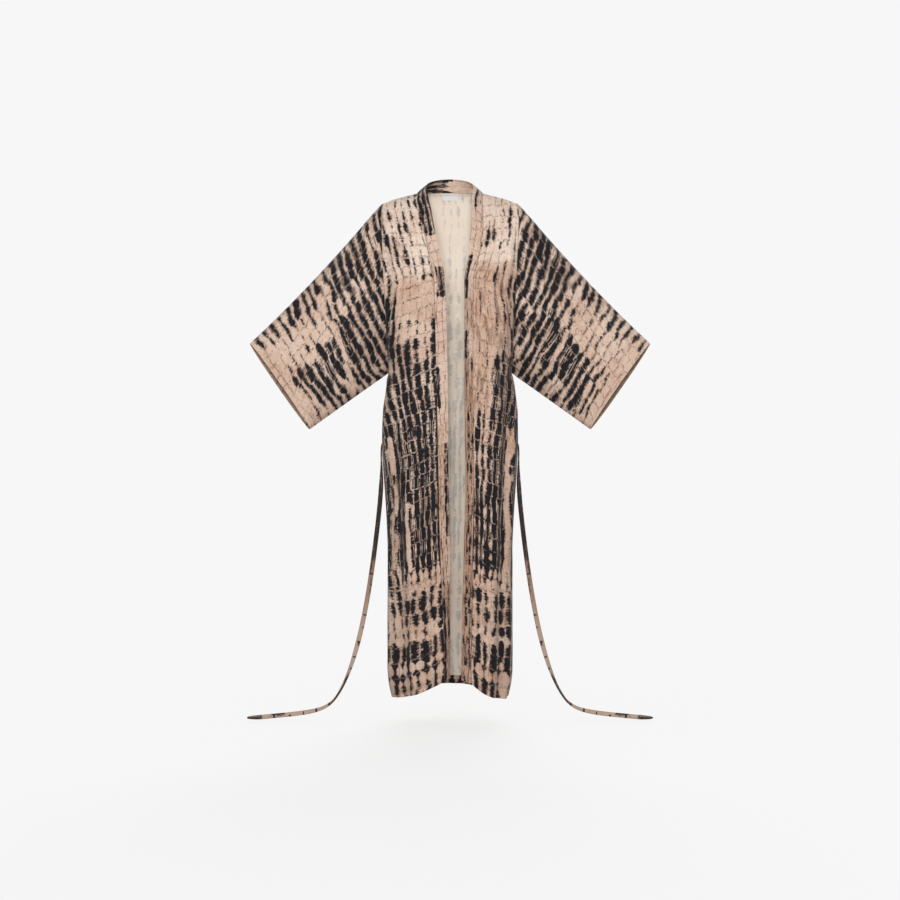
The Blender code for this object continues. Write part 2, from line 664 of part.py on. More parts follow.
def main():
    for old in list(bpy.data.objects):
        bpy.data.objects.remove(old)
    fronts = {side: front_grid(side) for side in (-1, 1)}
    sleeves = {side: sleeve_grid(side) for side in (-1, 1)}
    back = back_grid()
    band = band_grid(fronts)

    def skin_normals():
        skin = (
            (fronts[-1], False, False),
            (fronts[1], False, True),
            (back, False, True),
            (sleeves[-1], True, False),
            (sleeves[1], True, True),
            (band, False, True),
        )
        found = welded_normals(skin)
        for sleeve in found[3:5]:
            armpit = sleeve.shape[1] // 2
            sleeve[0, armpit] = sleeve[1, armpit]  # the body turns from it too sharply for a mitre
        return found

    normals = skin_normals()
    fronts[-1] = folded(fronts[-1], normals[0], body_folds(FRONT_RIGHT_FOLDS, fronts[-1], False))
    fronts[1] = folded(fronts[1], normals[1], body_folds(FRONT_LEFT_FOLDS, fronts[1], False))
    back = folded(back, normals[2], body_folds(BACK_FOLDS, back, True))
    for number, side in ((3, -1), (4, 1)):
        sleeves[side] = folded(sleeves[side], normals[number], sleeve_folds(sleeves[side]))
    normals = skin_normals()
    for sleeve in sleeves.values():
        armpit = sleeve.shape[1] // 2
        sleeve[0, armpit] += unit(sleeve[1, armpit] - sleeve[0, armpit]) * ARMPIT_CLEAR / 1000

    cuff_extra = np.where(np.array(sleeve_stations()) >= 1 - HEM_FOLD / SLEEVE_LENGTH, HEM_EXTRA, 0)
    wall("front_right", fronts[-1], normals[0], "print_cloth", extra=hem_extra())
    wall("front_left", fronts[1], normals[1], "print_cloth", extra=hem_extra())
    wall("back", back, normals[2], "print_cloth", extra=hem_extra())
    wall("sleeve_right", sleeves[-1], normals[3], "print_cloth", extra=cuff_extra, closed=True)
    wall("sleeve_left", sleeves[1], normals[4], "print_cloth", extra=cuff_extra, closed=True)
    wall("neckband", band, normals[5], "band_cloth", thick=BAND_CLOTH)
    label(back, normals[2])

    belt = belt_back(back, normals[2])
    column = belt_column(back, LOOP_BEHIND)
    belt_end("belt_end_right", belt, -1)
    belt_end("belt_end_left", belt[::-1], 1)
    belt_loop("belt_loop_right", back, normals[2], column + 0.12)
    belt_loop("belt_loop_left", back, normals[2], back.shape[1] - 1 - column - 0.12)


main()
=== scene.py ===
# A long open kimono coat in tie dyed cloth, with its neckband, tie belt and neck label.
# It is filled out and hollow, as on a figure that isn't there.
# Sizes are in millimetres until place() turns them into metres. A height is a drop below
# the back neck seam, and +x is the wearer's left.

import math

import bmesh
import bpy
import numpy as np
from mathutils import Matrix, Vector


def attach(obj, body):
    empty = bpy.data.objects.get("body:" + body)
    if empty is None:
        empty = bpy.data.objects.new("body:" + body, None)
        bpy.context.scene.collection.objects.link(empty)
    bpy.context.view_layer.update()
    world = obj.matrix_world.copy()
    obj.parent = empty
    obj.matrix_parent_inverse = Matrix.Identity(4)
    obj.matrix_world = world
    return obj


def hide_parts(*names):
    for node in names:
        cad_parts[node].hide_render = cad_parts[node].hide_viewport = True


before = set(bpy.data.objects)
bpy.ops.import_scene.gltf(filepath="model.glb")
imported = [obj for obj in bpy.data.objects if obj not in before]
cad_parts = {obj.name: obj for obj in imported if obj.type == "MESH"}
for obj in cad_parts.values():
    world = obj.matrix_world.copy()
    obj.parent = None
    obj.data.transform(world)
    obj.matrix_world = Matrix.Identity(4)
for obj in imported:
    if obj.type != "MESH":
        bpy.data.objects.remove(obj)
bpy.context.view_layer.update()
print("the packed frame is in")


def table(text):
    # rows of numbers under the names of their columns
    names, *rows = [line.split() for line in text.splitlines()]
    return dict(zip(names, np.array(rows, float).T))


def curve(x, y, slope, at):
    # the smooth curve that passes y at x with these slopes
    i = np.clip(np.searchsorted(x, at, side="right") - 1, 0, len(x) - 2)
    width = x[i + 1] - x[i]
    t = (at - x[i]) / width
    if y.ndim > 1:
        width, t = width[:, None], t[:, None]
    level = y[i] * (1 + 2 * t) * (1 - t) ** 2 + y[i + 1] * t * t * (3 - 2 * t)
    return level + width * (slope[i] * t * (1 - t) ** 2 - slope[i + 1] * t * t * (1 - t))


def smooth(rows, key, column, at):
    # a smooth curve through one column of a table, with no overshoot between its rows
    x, y = rows[key], rows[column]
    step = np.diff(y) / np.diff(x)
    slope = np.concatenate([step[:1], (step[1:] + step[:-1]) / 2, step[-1:]])
    most = 2 * np.minimum(abs(step[1:]), abs(step[:-1]))
    slope[1:-1] = np.where(step[1:] * step[:-1] <= 0, 0, np.clip(slope[1:-1], -most, most))
    return curve(x, y, slope, np.clip(np.asarray(at, float), x[0], x[-1]))


def summed(steps):
    return np.concatenate([[0], np.cumsum(steps)])


def unit(vector):
    return vector / np.maximum(np.linalg.norm(vector, axis=-1, keepdims=True), 1e-12)


def ease(low, high, value):
    t = np.clip((np.asarray(value, float) - low) / (high - low), 0, 1)
    return t * t * (3 - 2 * t)


def linear(red, green, blue):
    # a screen colour, 0 to 255, as the linear colour that a shader takes
    share = np.array([red, green, blue]) / 255
    return (*np.where(share <= 0.04045, share / 12.92, ((share + 0.055) / 1.055) ** 2.4), 1.0)


# The camera, the pale floor that the coat is shown on, and the lights
studio = {
    "eye": (0, -3.66, -0.653),
    "lens": 57.6,
    "floor": -1.3312,
    "floorRadius": 120.0,
    "paper": 0.28,  # how much of the lights the floor throws back
    "backdrop": 0.93,
    "sky": 0.33,  # the soft light from all around
    "keyPower": 82,
    "keySpot": (-0.1, -3.4, 0.35),
    "keySize": (0.9, 1.2),
    "sun": 1.4,
    "sunAngle": 50,
    "sunWay": (-0.16, -1.0, -0.66),
}


def makeCamera():
    lens = bpy.data.cameras.new("camera")
    lens.sensor_width = 36
    lens.lens = studio["lens"]
    lens.clip_start, lens.clip_end = 0.05, 400
    camera = addToScene("camera", lens)
    camera.location = studio["eye"]
    camera.rotation_euler = (math.radians(90), 0, 0)
    bpy.context.scene.camera = camera
    bpy.context.scene.view_settings.view_transform = "Standard"


def addToScene(name, data):
    made = bpy.data.objects.new(name, data)
    bpy.context.scene.collection.objects.link(made)
    return made


def makeLight(name, kind, power, spot, aim):
    lamp = bpy.data.lights.new(name, kind)
    lamp.energy = power
    made = addToScene(name, lamp)
    made.location = spot
    made.rotation_euler = (Vector(aim) - Vector(spot)).to_track_quat("-Z", "Y").to_euler()
    return made


def makeStudio():
    key = makeLight("keyLight", "AREA", studio["keyPower"], studio["keySpot"], (0, -0.1, -0.4))
    key.data.shape = "RECTANGLE"
    key.data.size, key.data.size_y = studio["keySize"]
    sun = makeLight("sunLight", "SUN", studio["sun"], (0, 0, 0), studio["sunWay"])
    sun.data.angle = math.radians(studio["sunAngle"])

    # the backdrop is brighter to the eye than the light that it gives
    world = bpy.data.worlds.new("sky")
    world.use_nodes = True
    nodes, links = world.node_tree.nodes, world.node_tree.links
    seen = nodes.new("ShaderNodeLightPath")
    strength = nodes.new("ShaderNodeMapRange")
    strength.inputs["To Min"].default_value = studio["sky"]
    strength.inputs["To Max"].default_value = studio["backdrop"]
    links.new(seen.outputs["Is Camera Ray"], strength.inputs["Value"])
    links.new(strength.outputs["Result"], nodes["Background"].inputs["Strength"])
    nodes["Background"].inputs["Color"].default_value = (1, 1, 1, 1)
    bpy.context.scene.world = world

    mesh = bpy.data.meshes.new("paper")
    turns = np.linspace(0, 2 * math.pi, 96, endpoint=False)
    out = studio["floorRadius"]
    rim = [(out * math.cos(turn), out * math.sin(turn), studio["floor"]) for turn in turns]
    mesh.from_pydata(rim, [], [tuple(range(len(rim)))])
    paper = Finish("paper")
    diffuse = paper.node("BsdfDiffuse", None, {"Color": (studio["paper"],) * 3 + (1,)})
    # the floor glows by what it lacks to meet the backdrop unseen
    steep = -studio["sunWay"][2] / Vector(studio["sunWay"]).length
    lacks = studio["backdrop"] - studio["paper"] * (studio["sky"] + studio["sun"] * steep / math.pi)
    glow = paper.node("Emission", None, {"Color": (1, 1, 1, 1), "Strength": lacks})
    paper.close(paper.node("AddShader", None, {0: diffuse, 1: glow}))
    mesh.materials.append(paper.material)
    floor = addToScene("paper", mesh)
    floor.visible_diffuse = floor.visible_glossy = floor.visible_shadow = False
    # the key light is for the cloth alone, so that the floor stays even
    lit = bpy.data.collections.new("litByKey")
    key.light_linking.receiver_collection = lit
    return lit


def summing(operation, flipped=False):
    # the method of a wire that adds a Math node
    def method(wire, *others):
        values = (*others, wire) if flipped else (wire, *others)
        return wire.finish.node("Math", {"operation": operation}, dict(enumerate(values)))

    return method


class Wire:
    # a socket that adds the Math nodes of the sums that it is in
    __add__, __radd__ = summing("ADD"), summing("ADD", flipped=True)
    __sub__, __rsub__ = summing("SUBTRACT"), summing("SUBTRACT", flipped=True)
    __mul__, __rmul__ = summing("MULTIPLY"), summing("MULTIPLY", flipped=True)
    __pow__, __abs__ = summing("POWER"), summing("ABSOLUTE")
    floor, fract = summing("FLOOR"), summing("FRACT")
    most, least = summing("MAXIMUM"), summing("MINIMUM")

    def __init__(self, finish, socket):
        self.finish, self.socket = finish, socket

    def between(self, low, high):
        # 0 below low, 1 above high, and soft between them
        settings = {"interpolation_type": "SMOOTHSTEP", "clamp": True}
        inputs = {"Value": self, "From Min": low, "From Max": high}
        return self.finish.node("MapRange", settings, inputs)

    def line(self, low, high):
        # 1 where this is 0, and soft down to 0 on both sides
        return 1.0 - abs(self).between(low, high)


class Finish:
    # one material, and the one method that adds its nodes
    def __init__(self, name):
        self.material = bpy.data.materials.new(name)
        self.material.use_nodes = True
        self.tree = self.material.node_tree
        self.tree.nodes.clear()

    def node(self, kind, settings=None, inputs=None, out=0):
        made = self.tree.nodes.new("ShaderNode" + kind)
        for name, value in (settings or {}).items():
            setattr(made, name, value)
        for name, value in (inputs or {}).items():
            if isinstance(value, Wire):
                self.tree.links.new(value.socket, made.inputs[name])
            else:
                made.inputs[name].default_value = value
        return Wire(self, made.outputs[out])

    def field(self, name):
        # a number that the mesh carries at each point
        return self.node("Attribute", {"attribute_name": name}, out="Fac")

    def spot(self, x, y, z=0.0):
        return self.node("CombineXYZ", None, {"X": x, "Y": y, "Z": z})

    def noise(self, where, scale=1.0, detail=2.0, rough=0.55):
        inputs = {"Vector": where, "Scale": scale, "Detail": detail, "Roughness": rough}
        return self.node("TexNoise", None, inputs, out="Fac")

    def cloud(self, x, y, z, detail=2, rough=0.55):
        return self.noise(self.spot(x, y, z), detail=detail, rough=rough)

    def chance(self, x, y, z=0.0):
        # one even number from 0 to 1 for each whole x and y
        return self.node("TexWhiteNoise", None, {"Vector": self.spot(x, y, z)}, out="Value")

    def blend(self, share, first, second, how="MIX"):
        # the first colour may be a wire, and the second one is a wire or a screen colour
        first, second = (each if isinstance(each, Wire) else linear(*each) for each in (first, second))
        settings = {"data_type": "RGBA", "blend_type": how}
        return self.node("Mix", settings, {0: share, 6: first, 7: second}, out=2)

    def shade(self, share, colour, tint):
        return self.blend(share, colour, tint, "MULTIPLY")

    def bump(self, height, strength, distance):
        return self.node("Bump", None, {"Height": height, "Strength": strength, "Distance": distance})

    def end(self, colour, roughness, normal, specular, sheen=0.08):
        inputs = {"Base Color": colour, "Roughness": roughness, "Normal": normal}
        inputs.update({"Specular IOR Level": specular, "Sheen Weight": sheen})
        self.close(self.node("BsdfPrincipled", None, inputs))
        return self.material

    def close(self, shader):
        output = self.tree.nodes.new("ShaderNodeOutputMaterial")
        self.tree.links.new(shader.socket, output.inputs["Surface"])


# The cloth is pleated, stitched across and dipped: dark bars lie between pale pleat lines,
# and each stitch leaves a thin line across them. Its colours are those of the lit cloth.
dye = {
    "columnPitch": 18.0,  # from one dark bar to the next, at the shoulder
    "footPitch": 21.0,  # and below the bare band above the hem
    "widens": 0.55,  # the bars' growth towards the waist
    "slant": 125,  # how far they lean to the front on their way there
    "drawn": 0.34,  # how steeply the lines of stitches rise over the chest
    "sideways": 0.5,  # how much of the depth counts for the pleats
    "rowPitch": 31.0,  # from one line of stitches to the next
    "footRowPitch": 38.0,
    "foot": 999,  # the drop where the bare band is
    "hemLine": 17.0,  # the hem is sewn this far up
    "ground": (240, 219, 202),
    "groundDeep": (206, 169, 146),
    "groundShade": (214, 208, 204),
    # painted shade along the sewn edges, and the thread colour of the hem's stitches
    "seamShadeAndStitch": (120, 96, 84),
    "dark": (22, 19, 25),
    "darkWorn": (74, 66, 66),
    "stain": (126, 94, 76),
    "reverse": (255, 243, 228),
    "reverseDeep": (246, 228, 211),
    "reverseDye": (146, 160, 166),
    "roughness": 0.86,
}


def dyeMarks(cloth):
    # How dark the dye is, and what its finish needs of it. The column and row fields count
    # the pleats and the lines of stitches. Above 0, bead pinches the dark bars at each
    # stitch, and below 0 it pinches the pale cloth between them.
    names = ("column", "row", "dye", "bead", "thread")
    column, row, amount, bead, thread = (cloth.field(name) for name in names)
    where = cloth.node("TexCoord", out="Object")
    wander = cloth.cloud(column * 0.42, row * 0.33, 4.0, detail=1) - 0.5
    slip = cloth.cloud(column * 0.8, row * 0.9, 8.0) - 0.5
    step = cloth.chance((row + slip * 0.6).floor(), column.floor(), 11.0) - 0.5
    pleat = column + wander * 0.9 + step * 0.32
    pleatNumber = pleat.floor()
    across = abs(pleat.fract() - 0.5) * 2.0  # 0 in the middle of a bar, 1 between two
    stitch = row + (cloth.chance(pleatNumber, 7.0) - 0.5) * 0.14 + slip * 0.4 + across * across * 0.1
    stitchNumber = stitch.floor()
    cellChance = cloth.chance(pleatNumber, stitchNumber, 2.0)
    along = abs(stitch.fract() - 0.5) * 2.0  # 0 between two lines of stitches, 1 on one
    jag = cloth.cloud(pleat * 1.9, row * 7.5, 3.0, detail=4, rough=0.85) - 0.5
    grit = cloth.noise(where, scale=330, rough=0.8) - 0.5
    drift = cloth.cloud(pleatNumber * 3.7, row * 0.4, 9.0) - 0.5
    room = (amount * (1.0 - amount) * 4.0).between(0.0, 0.75)
    level = amount * 1.3 - 0.1 + room * (drift * 1.7 + (cellChance - 0.5) * (bead.most(0.0) * 0.6 + 0.3))
    level = level - bead.most(0.0) * along**3.0 * 0.8 - bead.least(0.0) * (along**2.0 - 0.45) * 0.8
    # most of the pleat lines stay pale, even where the dye is dense
    level = level.least(0.84 + cloth.chance(pleatNumber, stitchNumber, 3.0).between(0.62, 0.7) * 0.4)
    ragged = 1.0 + bead.least(0.0) * 0.5
    level = level + jag * ragged * (room * 2.2 + 0.6) + grit * (room * 0.9 + 0.3)
    edge = level - across
    dark = edge.between(-0.06, 0.06)

    stitchGap = (1.0 - along) * (dye["rowPitch"] / 2)  # to the nearest line of stitches
    patchy = cloth.cloud(pleat * 1.1, row * 1.3, 12.0)
    resist = (1.0 - (stitchGap + jag * 4.0).between(0.7, 1.7)) * patchy.between(0.46, 0.58) * thread
    dark = dark * (1.0 - resist * 0.9)
    # a second, finer pale line runs down some of the bars
    halved = (across - 0.30 + jag * 0.9 - cellChance * 0.35).line(0.03, 0.10) * amount.between(0.62, 0.78)
    halved = halved * cloth.cloud(pleatNumber * 5.1, row * 0.7, 24.0).between(0.48, 0.56)
    dark = dark * (1.0 - halved * 0.8)
    dots = cloth.cloud(pleat * 4.5, stitchNumber * 3.1, 15.0, rough=0.7)
    dotted = 1.0 - (stitchGap + jag * 7.0 - (dots - 0.5) * 20.0).between(0.6, 2.4)
    dotted = dotted * dots.between(0.50, 0.54) * thread
    tick = (1.0 - (1.0 - across + jag * 0.5).between(0.04, 0.16)) * patchy.between(0.56, 0.63)
    tick = tick * amount.between(0.14, 0.34)
    dark = dark.most(dotted * 0.75).most(tick * (1.0 - amount).between(0.2, 0.5) * 0.55)
    return {"dark": dark, "edge": edge, "across": across, "grit": grit, "where": where}


def crepe(cloth, marks):
    # the fine grain of the cloth, its pleat lines, and the puckers at the seams
    where = marks["where"]
    grain = cloth.noise(where, scale=1500, rough=0.7)
    crease = cloth.noise(where, scale=70, detail=3, rough=0.6)
    pleats = marks["across"] ** 8.0
    seam = cloth.field("seam")
    pucker = cloth.noise(where, scale=160) * (1.0 - seam.between(1.0, 9.0))
    hem = (cloth.field("hem") - dye["hemLine"]).line(0.3, 1.6)
    height = grain * 0.10 + crease * 0.5 + pleats * 0.11 + pucker * 0.9
    return cloth.bump(height + seam.between(0.2, 2.0) * 0.8 - hem * 0.7, 0.55, 0.0009)


def printCloth(name):
    cloth = Finish(name)
    marks = dyeMarks(cloth)
    dark, edge, where = marks["dark"], marks["edge"], marks["where"]
    warm = cloth.field("warm")
    cloudy = cloth.noise(where, scale=16, detail=3)
    speckle = cloth.noise(where, scale=420)
    column, row = cloth.field("column"), cloth.field("row")
    streak = cloth.cloud(column * 2.6, row * 0.5, 30.0, detail=3, rough=0.65)
    tone = cloth.cloud(column * 2.0, row * 1.7, 34.0, detail=3, rough=0.65)
    # the ground deepens, and takes streaks of stain, where warm is high: partly the cloth's own stains and
    # tone, and partly painted shade that is paler over the chest and deeper lower down
    deep = (tone.between(0.35, 0.7) * 0.3 + cloudy.between(0.35, 0.7) * 0.3 + warm * 0.9 + 0.24).least(1.0)
    ground = cloth.blend(deep, dye["ground"], dye["groundDeep"])
    bleed = (edge + 0.10).line(0.0, 0.22) * 0.55 * cloudy.between(0.35, 0.6)
    smudge = streak.between(0.46, 0.64) * (warm - 0.2).between(0.0, 0.3) * 0.85
    ground = cloth.blend(bleed.most(smudge), ground, dye["stain"])
    fleck = marks["grit"].between(0.10, 0.2) * cloudy.between(0.4, 0.6) * 0.45
    ground = cloth.blend(fleck, ground, dye["stain"])
    ground = cloth.shade(speckle.between(0.42, 0.62) * 0.55, ground, dye["groundShade"])
    ink = cloth.blend(speckle.between(0.62, 0.74) * 0.5, dye["dark"], dye["darkWorn"])
    # painted shade: a thin dark line along each sewn edge
    seam = (1.0 - cloth.field("seam").between(0.3, 1.6)) * 0.55
    colour = cloth.shade(seam, cloth.blend(dark, ground, ink), dye["seamShadeAndStitch"])
    # the hem's stitches are real thread in the same brown
    stitches = ((column * 7.0).fract() - 0.3).between(0.0, 0.1)
    sewing = (cloth.field("hem") - dye["hemLine"]).line(0.3, 0.8) * stitches
    colour = cloth.shade(sewing * 0.5, colour, dye["seamShadeAndStitch"])
    roughness = dye["roughness"] + (speckle - 0.5) * 0.12 - dark * 0.06
    return cloth.end(colour, roughness, crepe(cloth, marks), specular=0.25)


def reverseCloth(name):
    cloth = Finish(name)
    marks = dyeMarks(cloth)
    where = marks["where"]
    cloudy = cloth.noise(where, scale=18, detail=3)
    smudge = marks["edge"].between(-0.1, 0.45) * cloth.noise(where, scale=60).between(0.15, 0.6)
    ground = cloth.blend(cloudy.between(0.3, 0.75) * 0.6, dye["reverse"], dye["reverseDeep"])
    colour = cloth.blend(smudge * 0.46, ground, dye["reverseDye"])
    roughness = dye["roughness"] + 0.04 + (cloudy - 0.5) * 0.1
    return cloth.end(colour, roughness, crepe(cloth, marks), specular=0.2)


# The body: widths, depths and folds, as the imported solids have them.
# Depths are from the shoulder line, and cover turns the neck's curve into the shoulder blades'.
body = {
    "cloth": 1.4,  # wall of one layer
    "hemFold": 20,  # height of the turned up hem
    "hemExtra": 0.7,  # what it adds inside
    "hemRows": 6,
    "topRows": 8,  # folds and ripples start over these
    "seamSink": 0.5,  # the cloth dips this much at a sewn edge
    "shoulderDip": 4.0,  # how far the corner of the shoulder is rounded off
    "shoulderSoft": 17,
    "step": 4.6,  # from row to row of points
    "napeBehind": 60,
    "neckHalf": 82,
    "neckDrop": 12,
    "shoulderDrop": 34,
    "armpitDrop": 459,
    "hemDrop": 1262,
    "frontHemRise": {-1: 49, 1: 44},
    "frontHemCurve": {-1: 1.6, 1: 2.2},
    "backHemRise": 9,
    "shoulderColumns": 50,
    "neckColumns": 25,
    "upper": table("""below armOut armFront armBack neckFront spineBack cover
    0 168 0 0 0 60 0
    6 169 17 15 15 67 .3
    20 169.5 33 30 34 75 .52
    45 169.5 48 45 55 83 .72
    80 168 58 56 73 90 .86
    125 166 64 64 87 95 .95
    175 164 66 68 98 98 1
    230 161 65 67 107 100 1
    290 158 58 60 113 101 1
    350 155.5 43 46 117 100 1
    398 154 21 24 119 99 1
    425 153 0 0 119 98 1"""),
    "lower": table("""drop halfWidth frontDepth backDepth
    459 153 119 98
    515 161 120 94
    560 167 120 91
    628 169 120 91
    665 168 120 94
    728 164 121 101
    785 160 122 107
    845 157 122 110
    905 155 121 111
    1195 155.5 118 109
    1232 152 117 109
    1262 145 116 109"""),
    # centre is 0 at the side seam and 1 at the front seam or the spine
    "rightFolds": table("""centre shift width height top foot
    .18 .3 .1 6 430 820
    .4 .14 .09 -5 470 1300
    .56 .1 .1 7 520 1300
    .8 .02 .08 -5 640 1300
    .24 -.02 .09 5 760 1300
    .46 .06 .1 5 90 420"""),
    "leftFolds": table("""centre shift width height top foot
    .16 .28 .1 6 430 800
    .66 .04 .12 8 190 1300
    .46 .08 .09 -5 480 1300
    .3 .06 .1 6 620 1300
    .86 0 .07 -4 300 1300
    .4 .06 .1 5 90 420"""),
    "backFolds": table("""centre shift width height top foot
    .16 .24 .08 5 430 800
    .34 .06 .07 -5 500 1300
    .5 .06 .08 8 430 1300
    .7 .03 .07 -5 620 1300
    .84 .02 .08 6 500 1300"""),
    # small soft ripples on top of the folds: height, length across and length down
    "ripples": table("""height across down turn
    .9 46 420 .3
    .6 27 300 1.9
    .5 71 180 4"""),
    "drag": {"height": 2.4, "reach": 60, "rays": 8},  # creases that run out from the armpits
}
armholeLength = body["armpitDrop"] - body["shoulderDrop"]


def place(point):
    across, behind, drop = np.moveaxis(np.asarray(point, float), -1, 0)
    return np.stack([across, behind - body["napeBehind"], -drop], axis=-1) / 1000


def upperKeys():
    # heights below the shoulder seam, closer where the cloth turns over it
    close = [0, 1.2, 2.6, 4.2, 6, 8.5, 11.5, 15, 19]
    return np.concatenate([close, np.arange(23, armholeLength - 2, body["step"]), [armholeLength]])


def lowerKeys():
    fold = body["hemDrop"] - body["hemFold"]
    above = np.arange(body["armpitDrop"] + body["step"], fold - 3, body["step"])
    hem = np.linspace(fold, body["hemDrop"], body["hemRows"])
    return np.concatenate([above, [fold - 1.2], hem])


def rowKeys():
    return [("upper", key) for key in upperKeys()] + [("lower", key) for key in lowerKeys()]


def stretched(top, below):
    # the drop of an upper row in a column that starts at top and ends level with the armpit
    return top + below * (body["armpitDrop"] - top) / armholeLength


def armPoint(below, side, back):
    upper = body["upper"]
    depth = smooth(upper, "below", "armBack", below) if back else -smooth(upper, "below", "armFront", below)
    return np.array([side * smooth(upper, "below", "armOut", below), depth, body["shoulderDrop"] + below])


def frontRow(zone, key, side):
    upper, lower = body["upper"], body["lower"]
    bend = np.linspace(0, 1, body["shoulderColumns"] + 1) * math.pi / 2
    across = 1 - np.cos(bend)
    if zone == "upper":
        outer = armPoint(key, side, back=False)
        drop = stretched(body["neckDrop"], key)
        depth = smooth(upper, "below", "neckFront", key)
        power = 1.3 + 0.9 * ease(150, armholeLength, key)
        rise = 0
    else:
        drop = key
        outer = np.array([side * smooth(lower, "drop", "halfWidth", drop), 0, drop])
        depth = smooth(lower, "drop", "frontDepth", drop)
        power = 2.2
        way = (drop - body["armpitDrop"]) / (body["hemDrop"] - body["armpitDrop"])
        rise = body["frontHemRise"][side] * way**1.5
    inner = np.array([side * smooth(band["rows"][side], "drop", "seam", drop), -depth, drop])
    forward = (1 - np.cos(bend) ** power) ** (1 / power)
    row = outer + (inner - outer) * np.stack([across, forward, across], axis=1)
    level = row[:, 2].copy()
    row[:, 2] -= rise * across ** body["frontHemCurve"][side]
    return row, level


def neckTurn():
    return np.linspace(0, math.pi / 2, body["neckColumns"] + 1)


def neckPoint(turn, side):
    across, behind = math.cos(turn), math.sin(turn)
    drop = body["neckDrop"] * (1 - behind)
    return np.array([side * body["neckHalf"] * across, body["napeBehind"] * behind, drop])


def backHalf(zone, key, side):
    upper, lower = body["upper"], body["lower"]
    columns = body["shoulderColumns"] + body["neckColumns"]
    lowShare = 1 - np.cos(np.linspace(0, 1, columns + 1) * math.pi / 2)
    if zone == "lower":
        halfWidth = smooth(lower, "drop", "halfWidth", key)
        behind = smooth(lower, "drop", "backDepth", key) * (1 - (1 - lowShare) ** 2.3) ** (1 / 2.3)
        drop = key - body["backHemRise"] * ease(1000, body["hemDrop"], key) * lowShare
        return np.stack([side * halfWidth * (1 - lowShare), behind, drop], axis=1)
    seam = frontRow("upper", 0, side)[0]
    neck = np.array([neckPoint(turn, side) for turn in neckTurn()[1:]])
    top = np.concatenate([seam, neck])
    topShare = 1 - np.abs(top[:, 0]) / abs(top[0, 0])
    share = topShare + (lowShare - topShare) * ease(0, armholeLength, key)
    power = 1.4 + 0.9 * ease(120, armholeLength, key)
    curve = (1 - (1 - share) ** power) ** (1 / power)
    neckCurve = np.interp(share, topShare, top[:, 1] / body["napeBehind"])
    cover = smooth(upper, "below", "cover", key)
    outer = armPoint(key, side, back=True)
    spine = smooth(upper, "below", "spineBack", key)
    behind = outer[1] + (spine - outer[1]) * (neckCurve + (curve - neckCurve) * cover)
    drop = stretched(np.interp(share, topShare, top[:, 2]), key)
    return np.stack([outer[0] * (1 - share), behind, drop], axis=1)


def frontGrid(side):
    rows, levels = zip(*(frontRow(zone, key, side) for zone, key in rowKeys()))
    return place(np.array(rows)), np.array(levels)


def backGrid():
    rows = []
    for zone, key in rowKeys():
        right, left = backHalf(zone, key, -1), backHalf(zone, key, 1)
        rows.append(np.concatenate([right, left[-2::-1]]))
    return place(np.array(rows))


def softened(grid):
    # the shoulder turns into the sleeve on a small curve, not at a corner
    made = grid.copy()
    for side in (-1, 1):
        tip = place((side * smooth(body["upper"], "below", "armOut", 0), 0, body["shoulderDrop"]))
        gap = np.linalg.norm(grid - tip, axis=-1, keepdims=True) * 1000 / body["shoulderSoft"]
        made -= np.array([side * 0.45, 0, 0.9]) * body["shoulderDip"] / 1000 * np.exp(-(gap**2))
    return made


def foldHeight(folds, share, drop):
    total = np.zeros(np.broadcast(share, drop).shape)
    for centre, shift, width, height, top, foot in zip(*folds.values()):
        way = np.clip((drop - top) / (foot - top), 0, 1)
        length = ease(top, top + 0.3 * (foot - top), drop)
        if foot < body["hemDrop"]:
            length = length * (1 - ease(foot - 0.35 * (foot - top), foot, drop))
        total += height * length * np.exp(-(((share - centre - shift * way) / width) ** 2))
    return total


def rippleHeight(across, down, seed):
    total = np.zeros(np.broadcast(across, down).shape)
    for height, wide, tall, turn in zip(*body["ripples"].values()):
        sway = 0.9 * np.sin(down / tall * 2 * math.pi + turn + seed)
        swell = 0.6 + 0.4 * np.sin(down / tall * 3.7 + seed)
        total += height * np.sin(across / wide * 2 * math.pi + sway + seed * 2.1) * swell
    return total


def dragHeight(out, down):
    # creases that run out from an armpit, where out and down are from it
    drag = body["drag"]
    far = np.hypot(out, down)
    crease = drag["height"] * np.cos(drag["rays"] * np.arctan2(down, out) + 0.6)
    return crease * ease(3, 18, far) * np.exp(-far / drag["reach"])


def bodyHeight(folds, grid, half, seed):
    # folds, ripples and drag creases, which all fade out at the seams
    length, drop = rowLengths(grid), -grid[:, :, 2] * 1000
    share, out = np.linspace(0, 1, grid.shape[1])[None, :], length
    fade = ease(0, 0.09, share) * ease(0, 0.09, 1 - share)
    if half:
        share, out = 1 - np.abs(share * 2 - 1), np.minimum(length, length[:, -1:] - length)
        fade = ease(0, 0.09, share)
    height = foldHeight(folds, share, drop) + rippleHeight(length, drop, seed) * ease(60, 330, drop)
    height = (height + dragHeight(out, drop - body["armpitDrop"]) * ease(300, 400, drop)) * fade
    height[: body["topRows"]] *= np.linspace(0, 1, body["topRows"])[:, None]
    return height


